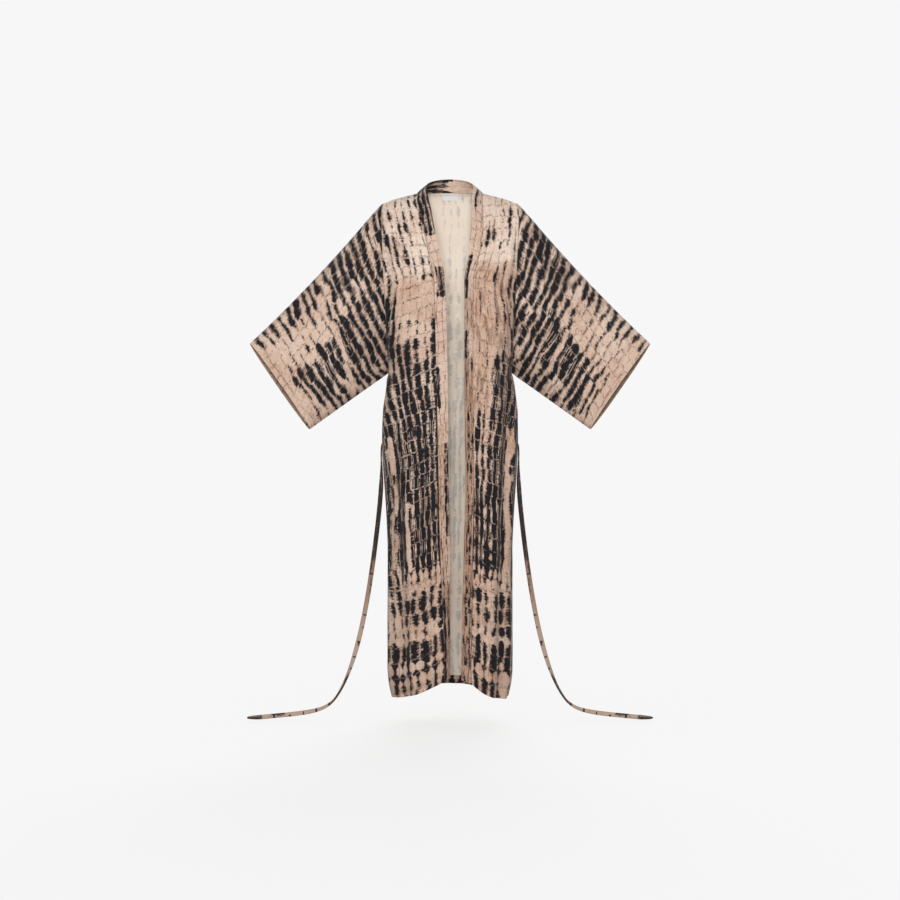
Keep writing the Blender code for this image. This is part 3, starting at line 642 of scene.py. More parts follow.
# The sleeves. The corners of a cuff are this far out, forward and down.
sleeve = {
    "cloth": 1.4,
    "cuffTop": (488, 86, 394),
    "cuffBottom": (343, 84, 602),
    "cuffHalfDepth": 27,
    "cuffTurn": 14,  # degrees that the sleeves turn forward
    "sag": 11,
    "belly": 7,
    "length": 470,
    "depth": 420,  # about, from its top edge to the underarm
    "fold": 20,
    "hemExtra": 0.7,
    "armpitClear": 1.4,
    "stations": 100,
    "folds": table("""top foot width height
    .16 .03 .06 6
    .34 .1 .07 -5
    .5 .24 .08 6
    .7 .52 .08 -4"""),
    "creases": table("""top foot width height
    .1 .02 .022 1.6
    .24 .05 .024 -1.5
    .42 .16 .03 1.5
    .6 .36 .03 1.2
    .82 .7 .035 -1.2
    .9 .86 .03 1"""),
}


def sleeveStations():
    fold = sleeve["fold"] / sleeve["length"]
    above = np.linspace(0, 1 - fold - 0.006, sleeve["stations"])
    return np.concatenate([above, np.linspace(1 - fold, 1, body["hemRows"])])


def sleeveGrid(side):
    # rings from the armhole to the cuff, each from its top down the front and up the back
    keys = upperKeys()
    front = [armPoint(below, side, back=False) for below in keys]
    back = [armPoint(below, side, back=True) for below in keys[-2:0:-1]]
    root = np.array(front + back)
    length = summed(np.linalg.norm(np.diff(front, axis=0), axis=1))
    frontShare = length / length[-1]
    share = np.concatenate([frontShare, frontShare[-2:0:-1]])
    facing = np.concatenate([-np.ones(len(front)), np.ones(len(back))])
    top, foot = (np.array(sleeve[end]) * [side, -1, 1] for end in ("cuffTop", "cuffBottom"))
    turn = math.radians(sleeve["cuffTurn"])
    depthWay = unit(np.array([side * 1.0, 0, 1.0])) * math.sin(turn) + np.array([0, math.cos(turn), 0])
    roundShare = (facing * 2 * sleeve["cuffHalfDepth"] * np.sqrt(share * (1 - share)))[:, None]
    cuff = top + (foot - top) * share[:, None] + depthWay * roundShare
    rings = []
    for station in sleeveStations():
        middle = 4 * station * (1 - station)
        ring = root + (cuff - root) * station
        ring[:, 2] += sleeve["sag"] * middle * (1 - share)
        ring[:, 1] += facing * sleeve["belly"] * middle * np.sin(math.pi * share)
        rings.append(ring)
    coarse = np.interp(keys, body["upper"]["below"], np.linspace(0, 1, len(body["upper"]["below"])))
    down = np.concatenate([coarse, coarse[-2:0:-1]])
    return place(np.array(rings)), share, down


def sleeveHeight(station, down, share, seed):
    total = 0
    window = np.sin(math.pi * np.clip(down, 0, 1)) * ease(0, 0.2, 1 - down)
    for name in ("folds", "creases"):
        for top, foot, width, height in zip(*sleeve[name].values()):
            centre = top + (foot - top) * down
            total = total + height * window * np.exp(-(((station - centre) / width) ** 2))
    length, depth = sleeve["length"], sleeve["depth"]
    total += rippleHeight(station * length, share * depth, seed) * 0.8 * np.sin(math.pi * share)
    total += 0.7 * dragHeight(station * depth, (1 - share) * (depth + 10))
    return total * ease(0, 0.1, station)


# The neckband, folded double: where it joins each front, and the way from its seam to its
# free edge. reach is towards the middle, inward is into the body, and up is up.
band = {
    "cloth": 2.2,
    "crown": 1.2,
    "lean": 8,  # at the back neck
    "up": 33,
    "columns": 10,
    "rows": {
        -1: table("""drop seam reach inward up
    12 82 24 2 19
    36 81 27 -2 9
    62 75 28 -5 5
    103 67 27 -6 3
    178 50.5 27 -5 1
    228 40 26 -2 0
    278 38 27 3 0
    478 33 27 5 0
    728 28 24 13 0
    903 24.5 24 15 0
    1028 19.5 19 20 1
    1153 15 15 23 2
    1262 13 13 23 5"""),
        1: table("""drop seam reach inward up
    12 82 24 2 19
    36 80 26 -2 9
    62 81 28 -5 5
    103 81 28 -6 3
    140 76 28 -5 1
    178 71 26 2 0
    205 64 23 10 0
    240 56 20 19 0
    478 55.5 20 19 0
    728 58 19.5 20 0
    903 55.5 21 18 0
    1153 52 23 16 1
    1262 51 23 15 6"""),
    },
}


def bandGrid(fronts):
    # stations along the neckband, from the right hem round the neck to the left hem
    columns, halves = ("reach", "inward", "up"), []
    for side in (-1, 1):
        rows = band["rows"][side]
        half = []
        for front, (zone, key) in zip(fronts[side], rowKeys()):
            drop = stretched(body["neckDrop"], key) if zone == "upper" else key
            reach, inward, up = (smooth(rows, "drop", column, drop) for column in columns)
            half.append((front[-1], np.array([-side * reach, inward, up]) / 1000, side * drop))
        half.reverse()
        reach, inward, up = (rows[column][0] for column in columns)
        for turn in neckTurn()[1:]:
            across, behind = math.cos(turn), math.sin(turn)
            lean, rise = inward * across - band["lean"] * behind, up + (band["up"] - up) * behind
            way = np.array([-side * reach * across, lean, rise]) / 1000
            half.append((place(neckPoint(turn, side)), way, side * body["neckDrop"] * across))
        halves.append(half)
    seam, way, drop = (np.array(each) for each in zip(*halves[0], *halves[1][-2::-1]))
    across = np.linspace(0, 1, band["columns"] + 1)
    outward = unit(np.cross(way, np.gradient(seam, axis=0)))
    crown = band["crown"] / 1000 * np.sin(math.pi * across) ** 0.8
    bulge = outward[:, None] * crown[None, :, None]
    return seam[:, None] + way[:, None] * across[None, :, None] + bulge, drop


def weldedNormals(skins):
    # normals of all the cloth as one skin, so that pieces meet face to face at their seams
    spots, sums = [], []
    halves = (slice(0, -1), slice(1, None))
    for grid, closed, flip in skins:
        wide = np.concatenate([grid, grid[:, :1]], axis=1) if closed else grid
        first = wide[1:, 1:] - wide[:-1, :-1]
        second = wide[1:, :-1] - wide[:-1, 1:]
        face = unit(np.cross(second, first)) * (-1 if flip else 1)
        total = np.zeros_like(wide)
        for rows, columns in ((rows, columns) for rows in halves for columns in halves):
            total[rows, columns] += face
        if closed:
            total[:, 0] += total[:, -1]
            total = total[:, :-1]
        spots.append(np.round(grid.reshape(-1, 3) * 1e5).astype(int))
        sums.append(total.reshape(-1, 3))
    number = np.unique(np.concatenate(spots), axis=0, return_inverse=True)[1].reshape(-1)
    joined = np.zeros((number.max() + 1, 3))
    np.add.at(joined, number, np.concatenate(sums))
    parts = np.split(unit(joined[number]), np.cumsum([len(each) for each in spots])[:-1])
    return [part.reshape(skin[0].shape) for part, skin in zip(parts, skins)]


def rowLengths(grid, sideways=1):
    # how far along its row each point is, where sideways is the weight of the depth
    step = np.linalg.norm(np.diff(grid, axis=1) * [1, sideways, 1], axis=2) * 1000
    return np.concatenate([np.zeros((grid.shape[0], 1)), np.cumsum(step, axis=1)], axis=1)


def addObject(name, points, faces, materials, fields, numbers=None, sharp=50):
    mesh = bpy.data.meshes.new(name)
    mesh.from_pydata([tuple(point) for point in points], [], faces)
    for material in materials:
        mesh.materials.append(material)
    if numbers is not None:
        mesh.polygons.foreach_set("material_index", numbers)
    edit = bmesh.new()
    edit.from_mesh(mesh)
    bmesh.ops.recalc_face_normals(edit, faces=edit.faces)
    edit.to_mesh(mesh)
    edit.free()
    mesh.shade_smooth()
    mesh.set_sharp_from_angle(angle=math.radians(sharp))
    for field, values in fields.items():
        attribute = mesh.attributes.new(field, "FLOAT", "POINT")
        attribute.data.foreach_set("value", np.asarray(values, np.float32).ravel())
    return addToScene(name, mesh)


def shell(name, grid, normals, thick, materials, fields, turned=0, extra=0.0, closed=False):
    # A thin closed wall round a grid of cloth points: its face, its reverse and its edges.
    # The last turned rows are a hem, which shows the cloth's face on the inside too.
    rows, columns = grid.shape[:2]
    under = rows * columns
    depth = np.full((rows, 1, 1), thick / 2000)
    outer = grid + normals * depth
    depth[rows - turned :] += extra / 1000
    inner = grid - normals * depth
    spans = np.arange(rows - 1), np.arange(columns if closed else columns - 1)
    i, j = np.meshgrid(*spans, indexing="ij")
    k = (j + 1) % columns
    corners = [i * columns + j, (i + 1) * columns + j, (i + 1) * columns + k, i * columns + k]
    ring = np.stack(corners, axis=-1).reshape(-1, 4)
    faces = ring.tolist() + (ring[:, ::-1] + under).tolist()
    reverse = np.where(i.ravel() >= rows - 1 - turned, 0, 1) if turned else np.ones(len(ring), int)
    numbers = [0] * len(ring) + (reverse * (len(materials) - 1)).tolist()
    edges = [[i * columns + j for j in range(columns)] for i in (0, rows - 1)]
    if closed:
        edges = [edge + edge[:1] for edge in edges]
    else:
        edges += [[i * columns + j for i in range(rows)] for j in (0, columns - 1)]
    for edge in edges:
        faces += [(a, b, b + under, a + under) for a, b in zip(edge, edge[1:])]
        numbers += [0] * (len(edge) - 1)
    points = np.concatenate([outer.reshape(-1, 3), inner.reshape(-1, 3)])
    fields = {key: np.tile(value.ravel(), 2) for key, value in fields.items()}
    return addObject(name, points, faces, materials, fields, numbers)


def sunk(grid, normals, edges):
    # the cloth dips a little where it is sewn
    made = grid.copy()
    for edge in edges:
        made[edge] -= normals[edge] * body["seamSink"] / 1000
    return made


# The belt: one long strip, folded and sewn flat. It runs through a loop behind each side
# seam, and its two ends hang down the sides and lie on the floor. Its points are world ones,
# in millimetres, on the wearer's right.
belt = {
    "width": 12,
    "thick": 4,
    "taper": 28,  # how much of each tip narrows
    "length": 0.893,  # of each free end, in metres
    "sides": 22,
    "step": 5,
    "behind": (
        (-167.8, -30.6, -640.1), (-165.3, -23.0, -640.1), (-160.1, -10.9, -640.1),
        (-149.2, -3.0, -639.9), (-139.2, 3.6, -639.9), (-130.5, 14.8, -639.7),
        (-116.9, 23.7, -639.4), (-100.3, 25.0, -639.6), (-85.1, 27.2, -639.8),
        (-69.7, 30.9, -639.8), (-53.3, 35.7, -639.5), (-35.4, 38.1, -639.4),
        (-17.5, 36.5, -639.7),
    ),
    "middle": (0, 36.7, -639.7),
    "start": (-168.0, -31.0, -640.1),  # where a free end leaves its loop
    "way": (-0.324, -0.946, 0),
    "lead": 4,  # straight on, before it turns down
    "bend": 9,
    "sag": 62,
    "touch": 359,  # how far out it meets the floor
    "trail": 130,
    "trailHeight": 8.5,
    "floor": 1322,
    "tip": 507,
    "tipForward": 18,
    "spacing": 22,
    "twist": table("""share turn
    0 0
    .05 8
    .16 78
    .52 84
    .68 30
    .74 16
    .84 50
    1 56"""),
    "leadTurn": table("""along turn
    0 0
    4 0
    8.5 30
    13.2 60
    17.9 90"""),
    "dashes": 35,  # from one dark mark across it to the next
    "pale": (198, 172, 154),
    # deep is painted shade: the brown of the upper length, behind the coat's sides
    "deep": (150, 118, 98),
    "dark": (38, 34, 36),
    "sewing": (110, 92, 82),
    "roughness": 0.84,
}
loop = {
    "base": (-163.6, -30.52, -640.0),
    "normal": (-0.951, 0.309, -0.023),
    # out and up, as far as its middle
    "path": ((1.6, 13.2), (1.9, 11.2), (4.2, 8.6), (7.1, 6.6), (7.3, 4.4)),
    "width": 5,
    "thick": 1.2,
    "sides": 14,
    "step": 0.8,
}


def fineLine(points, step):
    # even points along a smooth curve through these
    points = np.asarray(points, float)
    chord = summed(np.linalg.norm(np.diff(points, axis=0), axis=1))
    wanted = np.linspace(0, chord[-1], max(2, int(round(chord[-1] / step)) + 1))
    return curve(chord, points, np.gradient(points, chord, axis=0), wanted), wanted


def rounded(value, power):
    return np.sign(value) * np.abs(value) ** power


def strap(name, line, ways, along, kind, materials, taper=0, crown=0.16):
    # a flat closed strap along a line in millimetres, where ways point across its width
    line, sides, count = line / 1000, kind["sides"], len(line)
    tangent = unit(np.gradient(line, axis=0))
    across = unit(ways - tangent * np.sum(ways * tangent, axis=1, keepdims=True))
    normal = unit(np.cross(tangent, across))
    turn = np.linspace(0, 2 * math.pi, sides, endpoint=False)
    wide, high = rounded(np.cos(turn), 0.45), rounded(np.sin(turn), 0.55)
    high = high * (1 - crown + crown * np.cos(wide * math.pi * 0.5) ** 2)
    share = np.ones(count)
    if taper:
        share = np.clip(0.3 + 0.7 * np.sqrt(np.maximum(along[-1] - along, 0) / taper), 0, 1)
    half = (share * kind["width"] / 2000)[:, None, None]
    depth = kind["thick"] / 2000 * np.where(share < 1, 0.75 + 0.25 * share, 1)[:, None, None]
    points = line[:, None] + across[:, None] * half * wide[None, :, None]
    points = points + normal[:, None] * depth * high[None, :, None]
    faces = [tuple(range(sides)), tuple((count - 1) * sides + i for i in reversed(range(sides)))]
    for i in range(0, (count - 1) * sides, sides):
        for j in range(sides):
            k = (j + 1) % sides
            faces.append((i + j, i + sides + j, i + sides + k, i + k))
    fields = {"along": np.repeat(along, sides), "across": np.tile(wide, count)}
    return addObject(name, points.reshape(-1, 3), faces, materials, fields, sharp=60)


def beltRoute():
    # A free end on the wearer's right. It turns down out of its loop, hangs as a chain does
    # but stays beside the coat, and is drawn out along the floor.
    first, way = np.array(belt["start"]), unit(np.array(belt["way"]))
    bend = [first]
    for turn in np.radians((0, 30, 60, 90)):
        ahead, down = belt["bend"] * math.sin(turn), belt["bend"] * (1 - math.cos(turn))
        bend.append(first + way * (belt["lead"] + ahead) - [0, 0, down])
    out, behind, top = bend[-1]
    drops = np.linspace(12 - top, belt["floor"] - 1, 400)
    height = belt["floor"] - drops
    chain = belt["touch"] - belt["sag"] * np.arccosh(1 + height / belt["sag"])
    chain += belt["trail"] * np.exp(-height / belt["trailHeight"])
    heights = np.append(np.minimum(drops, body["hemDrop"]), -top)
    coat = smooth(body["lower"], "drop", "halfWidth", heights)
    soft = 5
    outs = np.logaddexp(chain / soft, (coat[:-1] - coat[-1] - out) / soft) * soft
    outs = np.concatenate([outs, np.linspace(outs[-1] + 4, belt["tip"], 60)])
    drops = np.concatenate([drops, np.full(60, belt["floor"])])
    trail = np.clip((outs - belt["touch"]) / (belt["tip"] - belt["touch"]), 0, 1)
    route = np.stack([-outs, behind - belt["tipForward"] * trail**2, -drops], axis=1)
    fine = np.concatenate([bend, route])
    along = summed(np.linalg.norm(np.diff(fine, axis=0), axis=1))
    count = math.ceil((along[-1] - along[4]) / belt["spacing"])
    at = np.concatenate([along[:4], np.linspace(along[4], along[-1], count + 1)])
    return np.stack([np.interp(at, along, column) for column in fine.T], axis=1)


def beltEnd(name, side, materials):
    points = beltRoute() * [-side, 1, 1]
    line, along = fineLine(points, belt["step"])
    tangent = unit(np.gradient(line, axis=0))
    share = along / along[-1]
    lead = np.radians(np.interp(along, *belt["leadTurn"].values()))[:, None]
    depth = np.concatenate([np.zeros_like(lead), -np.sin(lead), np.cos(lead)], axis=1)
    depth = unit(depth - tangent * np.sum(depth * tangent, axis=1, keepdims=True))
    turn = np.radians(smooth(belt["twist"], "share", "turn", share))[:, None]
    ways = depth * np.cos(turn) + np.cross(tangent, depth) * np.sin(turn) * side
    return strap(name, line, ways, along, belt, materials, belt["taper"]), points / 1000


def beltBehind(name, materials):
    half = np.array(belt["behind"])
    points = np.concatenate([half, [belt["middle"]], half[::-1] * [-1, 1, 1]])
    line, along = fineLine(points, belt["step"])
    ways = np.tile([0, 0, 1.0], (len(line), 1))
    return strap(name, line, ways, along, belt, materials)


def beltLoop(name, side, materials):
    base, normal = (np.array(loop[key]) * [-side, 1, 1] for key in ("base", "normal"))
    path = list(loop["path"]) + [(out, -up) for out, up in reversed(loop["path"])]
    points = [base + normal * out + np.array([0, 0, up]) for out, up in path]
    line, along = fineLine(points, loop["step"])
    ways = np.tile(unit(np.cross(normal, [0, 0, 1.0])), (len(line), 1))
    return strap(name, line, ways, along, loop, materials)


def beltCloth(name):
    # the belt's finish: brown and dark under the loops, paler below, with dark marks across.
    # The brown and the dark patches on its upper length are painted shade, where it hangs behind the coat's
    # sides
    cloth = Finish(name)
    along, across = cloth.field("along"), cloth.field("across")
    where = cloth.node("TexCoord", out="Object")
    grit = cloth.noise(where, scale=420, detail=3, rough=0.7) - 0.5
    patch = cloth.cloud(along * 0.014, across * 0.5, 6.0, detail=3)
    # from the painted shade of the upper length to the paler cloth below
    low = along.between(230.0, 560.0)
    marks = along * (1 / belt["dashes"]) + (cloth.cloud(along * 0.01, 0.0, 3.0) - 0.5) * 1.4
    number = marks.floor()
    near = abs(marks.fract() - 0.5) * belt["dashes"]
    halfWay = (cloth.chance(number, 1.0) - 0.5) * 3.0
    dash = (1.0 - (near + grit * 2.0).between(1.6, 3.0)) * (across * 1.4 + halfWay + grit).between(-0.5, -0.2)
    edge = (cloth.chance((along * 0.004).floor(), 2.0) - 0.5).between(-0.01, 0.01)
    stroke = patch.between(0.56, 0.60) * (across * edge + 0.3).between(0.25, 0.5)
    mottle = cloth.cloud(along * 0.035, across * 0.8, 11.0, detail=3, rough=0.65)
    middle = along.between(70.0, 130.0) * (1.0 - along.between(240.0, 380.0))
    # painted shade: dark patches over the upper length, behind the coat's sides
    upper = (mottle + grit * 0.35 + middle * 0.1 - 0.47 - low * 0.2).between(0.0, 0.05) * (1.0 - low * 0.85)
    streak = along.between(797.0, 801.0) * (1.0 - along.between(828.0, 836.0))
    streak = streak * (grit * 0.8 - across).between(0.0, 0.15)
    bend = along.between(585.0, 600.0) * (1.0 - along.between(672.0, 690.0))
    streak = streak.most(bend * (across * 0.3 + mottle + grit * 0.5).between(0.5, 0.58))
    tip = along.between(850.0, 864.0) * (0.5 + (grit * 0.8 + across).between(-0.5, 0.2) * 0.5)
    dark = dash.most(stroke).most(upper).most(streak).most(tip).least(1.0)
    ground = cloth.blend((low * 0.85 + (mottle - 0.5) * 0.6).least(1.0), belt["deep"], belt["pale"])
    colour = cloth.blend(dark * 0.94, ground, belt["dark"])
    stitches = (abs(across) - 0.80).line(0.02, 0.07) * ((along * 0.42).fract() - 0.18).between(0.0, 0.1)
    colour = cloth.blend(stitches * 0.35, colour, belt["sewing"])
    grain = cloth.noise(where, scale=1500, rough=0.7)
    crease = cloth.cloud(along * 0.12, across * 1.5, 2.0)
    normal = cloth.bump(grain * 0.12 + crease * 0.5 - stitches * 0.6, 0.6, 0.0007)
    return cloth.end(colour, belt["roughness"] + grit * 0.1, normal, specular=0.25)


# The neck label: a blank piece of woven ribbon, sewn in at its top edge
label = {
    "topHalf": 23,
    "footHalf": 18.5,
    "top": 1.5,
    "height": 15,
    "thick": 1,
    "clear": 0.9,
    "rows": 16,
    "columns": 44,
    "ribbon": (255, 255, 255),
    "border": (236, 237, 241),
    "thread": (150, 148, 150),
    "weave": 1.1,  # threads in a millimetre
    "sewing": 1.3,  # its stitches are this far down
}


def gridPoint(grid, normals, row, column):
    i, j = min(int(row), grid.shape[0] - 2), min(int(column), grid.shape[1] - 2)
    a, b = row - i, column - j
    weights = np.outer((1 - a, a), (1 - b, b))[:, :, None]
    point, normal = ((skin[i : i + 2, j : j + 2] * weights).sum(axis=(0, 1)) for skin in (grid, normals))
    return point, unit(normal)


def neckLabel(name, grid, normals, materials):
    drops = -grid[:, grid.shape[1] // 2, 2] * 1000
    across = grid[0, :, 0] * 1000
    out = body["cloth"] / 2 + label["clear"] + label["thick"] / 2
    spans = np.linspace(0, 1, label["rows"]), np.linspace(-1, 1, label["columns"])
    down, along = np.meshgrid(*spans, indexing="ij")
    points = []
    for share, side in zip(down.flat, along.flat):
        half = label["topHalf"] + (label["footHalf"] - label["topHalf"]) * share
        row = np.interp(label["top"] + label["height"] * share, drops, np.arange(len(drops)))
        column = np.interp(side * half, across, np.arange(len(across)))
        point, normal = gridPoint(grid, normals, row, column)
        points.append(point - normal * out / 1000)
    points = np.array(points).reshape(*down.shape, 3)
    flat = weldedNormals([(points, False, False)])[0]
    return shell(name, points, flat, label["thick"], materials, {"across": along, "down": down})


def ribbonCloth(name):
    cloth = Finish(name)
    across, down = cloth.field("across"), cloth.field("down")
    where = cloth.node("TexCoord", out="Object")
    x, y = across * label["topHalf"], down * label["height"]
    threads = abs((x * label["weave"]).fract() - 0.5) + abs((y * label["weave"] + 0.5).fract() - 0.5)
    edge = (1.0 - abs(across)).least(1.0 - down) * 10.0
    border = 1.0 - edge.between(0.45, 0.75)
    sewn = (y - label["sewing"]).line(0.16, 0.34) * ((x * 0.55).fract() - 0.25).between(0.0, 0.12)
    cloudy = cloth.noise(where, scale=120, detail=3)
    colour = cloth.blend(border * 0.6 + cloudy * 0.2, label["ribbon"], label["border"])
    colour = cloth.blend(sewn * 0.8, colour, label["thread"])
    normal = cloth.bump(threads * 0.5 + border * 0.6 - sewn * 0.8, 0.5, 0.0004)
    return cloth.end(colour, 0.52 + threads * 0.12, normal, specular=0.4, sheen=0.1)


# Where the dye went: each table is painted in turn over the last. near and far are
# millimetres from the front seam or the spine, and top and foot are drops. The last column is
# partly the cloth's own stains and tone and partly painted shade, which makes the chest and
# shoulders paler and the lower body and the neckband's lower length deeper.
frontDye = {
    "base": (0.45, 0.45, 0.5, 0.1),  # dye, bead, thread and warm, where no zone is
    "soft": (9, 12),
    -1: table("""near far top foot dye bead thread warm
    -20 300 20 85 .19 .6 .6 -.35
    28 60 30 110 .25 .5 .5 -.35
    60 130 85 150 .38 .6 .6 -.3
    -20 60 110 240 .2 .2 .6 -.4
    60 300 150 300 .35 .1 .6 -.2
    -20 98 248 350 .05 .3 1 .3
    -20 100 350 400 .34 .8 .9 .2
    30 90 395 455 .5 .3 .5 .1
    98 300 290 600 .6 .2 .5 0
    -20 98 455 600 .64 .1 .7 -.1
    -20 300 600 775 .8 .1 1 -.05
    -20 300 775 955 .93 -1 .4 .25
    106 120 620 960 .12 .4 .5 .3
    78 106 720 985 .98 .1 .2 .1
    66 78 790 960 .14 .6 .4 .2
    -20 96 955 985 .4 -.9 .6 .3
    -20 110 985 1012 .1 .4 .9 .3
    -20 110 1012 1118 .58 .6 .4 .3
    -20 130 1084 1118 .52 1 .4 .3
    -20 130 1118 1134 .06 .5 .5 .3
    -20 300 1134 1186 .7 .1 .3 .2
    -20 300 1186 1240 .47 -1.2 .3 .3
    -20 300 1236 1264 .4 .2 .3 .3"""),
    1: table("""near far top foot dye bead thread warm
    -20 300 20 110 .06 .9 .8 -.4
    34 100 60 100 .15 .6 .9 -.4
    26 110 110 160 .18 .3 .8 -.4
    105 300 100 300 .5 .4 .6 -.1
    -20 84 160 205 .03 .2 .7 -.45
    -20 50 205 590 .09 .3 .8 .43
    50 100 205 430 .22 .1 .6 .44
    100 300 300 600 .62 .2 .5 .1
    44 110 430 600 .78 .1 .8 .15
    -20 40 585 700 .55 .5 1 .2
    40 300 590 775 .89 .1 1 .2
    -20 40 700 775 .56 .2 .6 .2
    -20 300 775 955 .88 -1 .4 .25
    80 98 600 960 .14 .5 .4 .3
    100 126 640 960 .96 .1 .3 .2
    -20 90 955 985 .36 -.9 .6 .3
    -20 90 985 1010 .1 .4 .9 .3
    -20 100 1012 1118 .56 .6 .4 .3
    -20 110 1082 1118 .5 1 .4 .3
    -20 110 1118 1132 .06 .5 .5 .3
    -20 300 1132 1186 .6 .1 .3 .2
    -20 300 1186 1240 .36 -1.2 .3 .3
    -20 300 1236 1264 .36 .2 .3 .3"""),
}
backDye = {
    "base": (0.45, 0.5, 0.5, 0.1),
    "soft": (12, 14),
    "zones": table("""near far top foot dye bead thread warm
    0 120 20 150 .18 .5 .8 -.1
    60 300 60 260 .58 .3 .4 0
    0 70 150 330 .34 .6 .9 .1
    90 300 260 600 .62 .15 .4 .1
    0 90 330 600 .6 .3 .8 .2
    0 300 600 780 .88 .1 1 .15
    0 300 780 955 .7 -.6 .5 .25
    30 48 640 960 .14 .5 .4 .3
    0 300 955 1008 .24 -.9 .8 .3
    0 300 1012 1118 .54 .8 .5 .3
    0 300 1118 1134 .06 .5 .5 .3
    0 300 1134 1188 .8 .15 .4 .2
    0 300 1188 1262 .54 -.8 .4 .3"""),
}
# On a sleeve, near and far run from 0 at the armhole to 1 at the cuff, along its top edge,
# and top and foot from 0 at the top edge to 1 at the underarm.
sleeveDye = {
    "base": (0.46, 0.2, 0.3, 0.1),
    "soft": (0.035, 0.05),
    "columns": 18.0,
    "armhole": 450,  # from the top edge to the underarm
    "cuff": 280,
    "fan": 0.4,
    "lead": 0.38,  # the share of the pleats that run into the armhole
    "zones": table("""near far top foot dye bead thread warm
    -.1 .24 -.1 .45 .52 .2 .7 0
    .18 .5 -.1 .36 .7 0 .5 0
    .46 .62 -.1 .24 .54 0 .3 0
    .48 1.1 .2 .54 .17 .4 .9 .1
    .6 .84 -.1 .18 .44 0 .2 0
    .84 1.1 -.1 .12 .38 0 .2 0
    .46 .6 .28 .48 .4 .3 .8 .1
    .37 .5 .46 .8 .8 0 .3 0
    .5 .55 .4 .95 .26 .3 .5 .1
    .55 .7 .5 .8 .84 0 .3 0
    .55 .7 .8 .97 .42 .2 .4 0
    .7 .83 .54 .93 .54 0 .2 0
    .83 .92 .6 .95 .34 0 .3 .1
    .92 1.1 .12 1.1 .05 .2 .6 .2
    .76 1.1 .94 1.1 .12 .3 .4 .2
    -.1 .37 .4 1.1 .6 .1 .8 0"""),
}
# On the neckband, near and far are millimetres from its seam and top and foot are drops,
# which are less than 0 on the wearer's right.
bandDye = {
    "base": (0.08, 0.3, 0.8, 0.1),
    "soft": (3, 3),
    "columnPitch": 13.0,
    "rowPitch": 24.8,
    "slant": 0.35,
    "zones": table("""near far top foot dye bead thread warm
    -9 40 -128 -14 .76 .2 .2 .1
    -9 40 -16 -.6 1.3 .1 .1 .2
    -9 40 -.6 14 .04 .3 .3 0
    8 40 -280 -206 .74 .3 .4 .2
    -9 9 -550 -455 .9 .1 .3 .2
    17 40 -880 -640 .8 .3 .4 .3
    -9 17 -1000 -600 .1 .3 .8 .4
    -9 40 -1262 -1000 .26 .6 .9 .5
    -9 9 -1262 -1040 .8 .2 .3 .4
    8 20 14 60 .62 .4 .3 .1
    -9 40 60 175 .1 .5 .8 .1
    14 40 180 285 .84 .4 .8 .2
    -9 40 285 365 .1 .3 .8 .3
    12 40 365 430 .8 .3 .5 .3
    -9 40 430 1262 .2 .2 .6 .7
    8 15 560 1262 .62 .6 .5 .6"""),
}


def window(near, far, soft, value):
    near, far = (ease(edge - soft / 2, edge + soft / 2, value) for edge in (near, far))
    return near * (1 - far)


def paintDye(across, down, column, cloth, zones="zones"):
    # each pleat took the dye to a slightly different height, and warm, which is partly painted shade, has no
    # clear edge
    wide, tall = cloth["soft"]
    across = across + wide * 0.45 * (np.sin(down / tall / 3.1) + np.sin(down / tall / 1.3 + 2) * 0.6)
    down = down + tall * 0.8 * (np.sin(column * 2.1) * 0.6 + np.sin(column * 4.7 + 1) * 0.4)
    names = ("dye", "bead", "thread", "warm")
    made = {name: np.full(column.shape, value) for name, value in zip(names, cloth["base"])}
    for near, far, top, foot, *values in zip(*cloth[zones].values()):
        sharp, soft = (
            window(near, far, wide * k, across) * window(top, foot, tall * k, down) for k in (1, 4)
        )
        for name, value in zip(names, values):
            made[name] += (value - made[name]) * (soft if name == "warm" else sharp)
    return {"column": column, **made}


def drawnUp(across, down):
    # the stitch lines rise towards the front opening, most of all over the chest
    chest = ease(170, 260, down) * (1 - 0.8 * ease(760, 1000, down))
    return (115 - np.minimum(across, 160)) * dye["drawn"] * chest


def pleatColumn(across, down):
    # The pleats get wider towards the waist, and those below the armpit slant to the front.
    # The bare band above the hem parts them from the wider pleats of the foot.
    pitch = dye["columnPitch"] * (1 + dye["widens"] * ease(250, 560, down))
    slant = dye["slant"] * np.minimum(np.abs(across) / 130, 1.1) ** 0.8 * ease(330, 740, down)
    above = (across + np.sign(across) * slant) / pitch
    return np.where(down < dye["foot"], above, across / dye["footPitch"])


def stitchRow(down):
    return down / np.where(down < dye["foot"], dye["rowPitch"], dye["footRowPitch"])


def toSeam(grid):
    # the way to the nearest sewn edge
    real, drop = rowLengths(grid), -grid[:, :, 2] * 1000
    return np.minimum(np.minimum(real[:, -1:] - real, real), drop - drop[:1])


def frontFields(grid, level, side):
    length = rowLengths(grid, dye["sideways"])
    across = length[:, -1:] - length
    column = pleatColumn(across, level) + (0.3 if side < 0 else 41.7)
    rise = drawnUp(across, level)
    fields = paintDye(across, level + rise * 0.5, column, frontDye, side)
    row = stitchRow(level + rise) + (0 if side < 0 else 30.4)
    return {**fields, "row": row, "seam": toSeam(grid), "hem": body["hemDrop"] - level}


def backFields(grid, level):
    length = rowLengths(grid, dye["sideways"])
    spine = grid.shape[1] // 2
    across = length - length[:, spine : spine + 1]
    fields = paintDye(np.abs(across), level, pleatColumn(across, level) + 80.5, backDye)
    row = stitchRow(level) + 60
    return {**fields, "row": row, "seam": toSeam(grid), "hem": level[-1:] - level}


